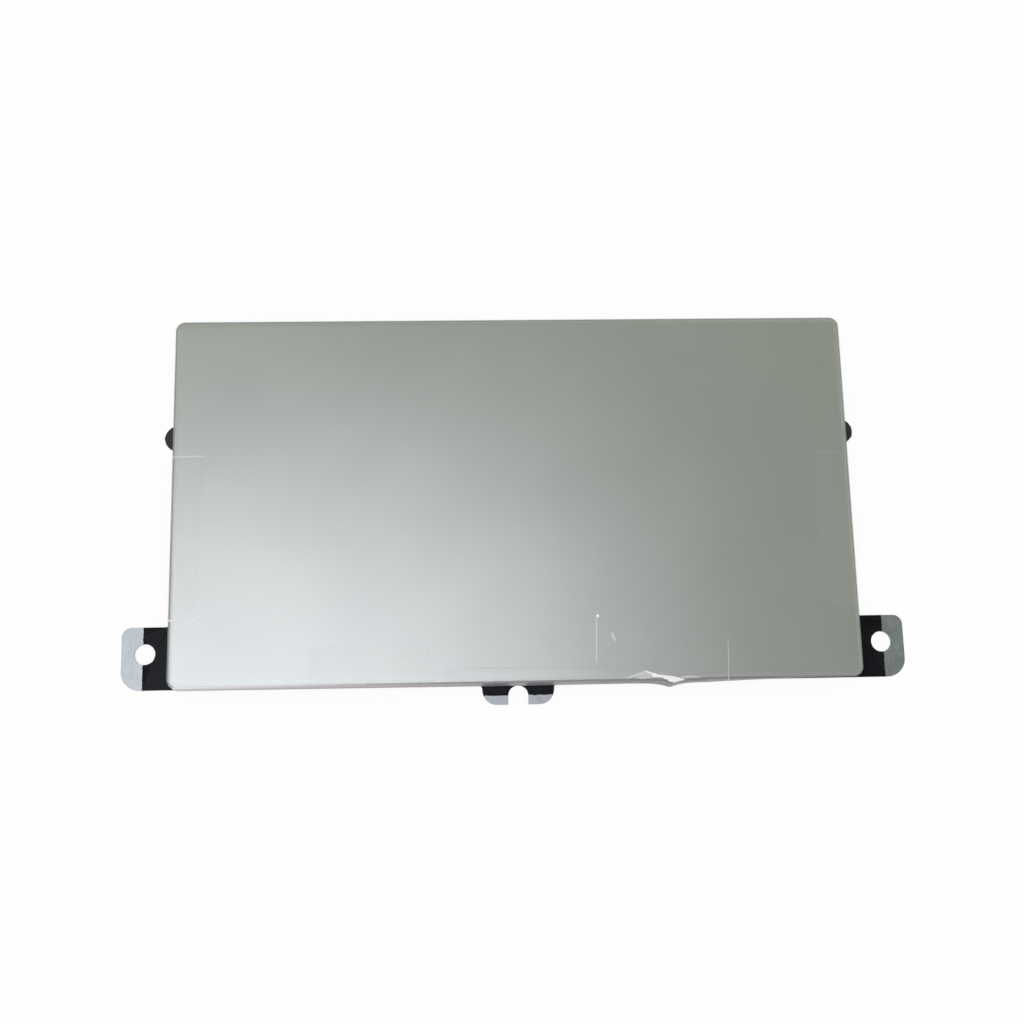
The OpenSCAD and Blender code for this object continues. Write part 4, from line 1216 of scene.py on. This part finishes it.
bm = bmesh.new()
for node in SOLDERED:
    for x0, y0, x1, y1 in islands(node):
        y = (y0 + y1) / 2
        strip(bm, [(x0 - PAD_RIM, y), (x1 + PAD_RIM, y)], y1 - y0 + 2 * PAD_RIM)
thicken(bm, PAD_T)
place_piece("solder_pads", bm, [tinned], "pad")

# %% [markdown]
# A via is a drilled hole, plated through with copper and then gold, that carries a track to the board's
# other side. What shows is a ring with a dimple, so its outline is drawn once and spun about the hole's
# axis.

# %% Vias
VIA_R = 0.32
VIA_HOLE = 0.13
VIA_T = 0.045
VIA_SIDES = 12

bm = bmesh.new()
for x, y in via_spots:
    outline = [(VIA_HOLE, VIA_T), (VIA_HOLE, -VIA_T), (VIA_R, -VIA_T), (VIA_R, VIA_T)]
    ring = [bm.verts.new(((x + r) * MM, y * MM, (board_z + z) * MM)) for r, z in outline]
    sides = [bm.edges.new(pair) for pair in zip(ring, ring[1:] + ring[:1])]
    bmesh.ops.spin(bm, geom=ring + sides, cent=(x * MM, y * MM, 0), axis=(0, 0, 1), angle=2 * pi,
                   steps=VIA_SIDES, use_merge=True)
bmesh.ops.recalc_face_normals(bm, faces=bm.faces)
place_piece("vias", bm, [gold], "pad")

# %% [markdown]
# White legend ink is screen-printed on the mask to show where parts go: four corner marks round the chip
# and round the connector, and a dot at the chip's first lead. The print is only some hundredths of a
# millimetre thick.

# %% Legend ink
INK_W = 0.16
INK_T = 0.015
INK_GAP = 0.42
INK_ARM = 1.0
legend_ink = moulded("screen_printed_ink", "#c4c7c0", "#dadcd5", 0.6, 0.1, 0.004)

bm = bmesh.new()
for node in ("controller_leads", "connector_housing"):
    lo, hi = (Vector((c.x, c.y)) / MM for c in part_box(node))
    corners = [(x, y, side, up) for x, side in ((lo.x - INK_GAP, 1), (hi.x + INK_GAP, -1))
               for y, up in ((lo.y - INK_GAP, 1), (hi.y + INK_GAP, -1))]
    for x, y, side, up in corners:
        strip(bm, [(x + INK_ARM * side, y), (x, y), (x, y + INK_ARM * up)], INK_W)
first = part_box("controller_leads")[0] / MM
strip(bm, [(first.x - 3 * INK_GAP, first.y), (first.x - 3 * INK_GAP + 2 * INK_W, first.y)], 2 * INK_W)
thicken(bm, INK_T)
place_piece("legend_marks", bm, [legend_ink], "pad")
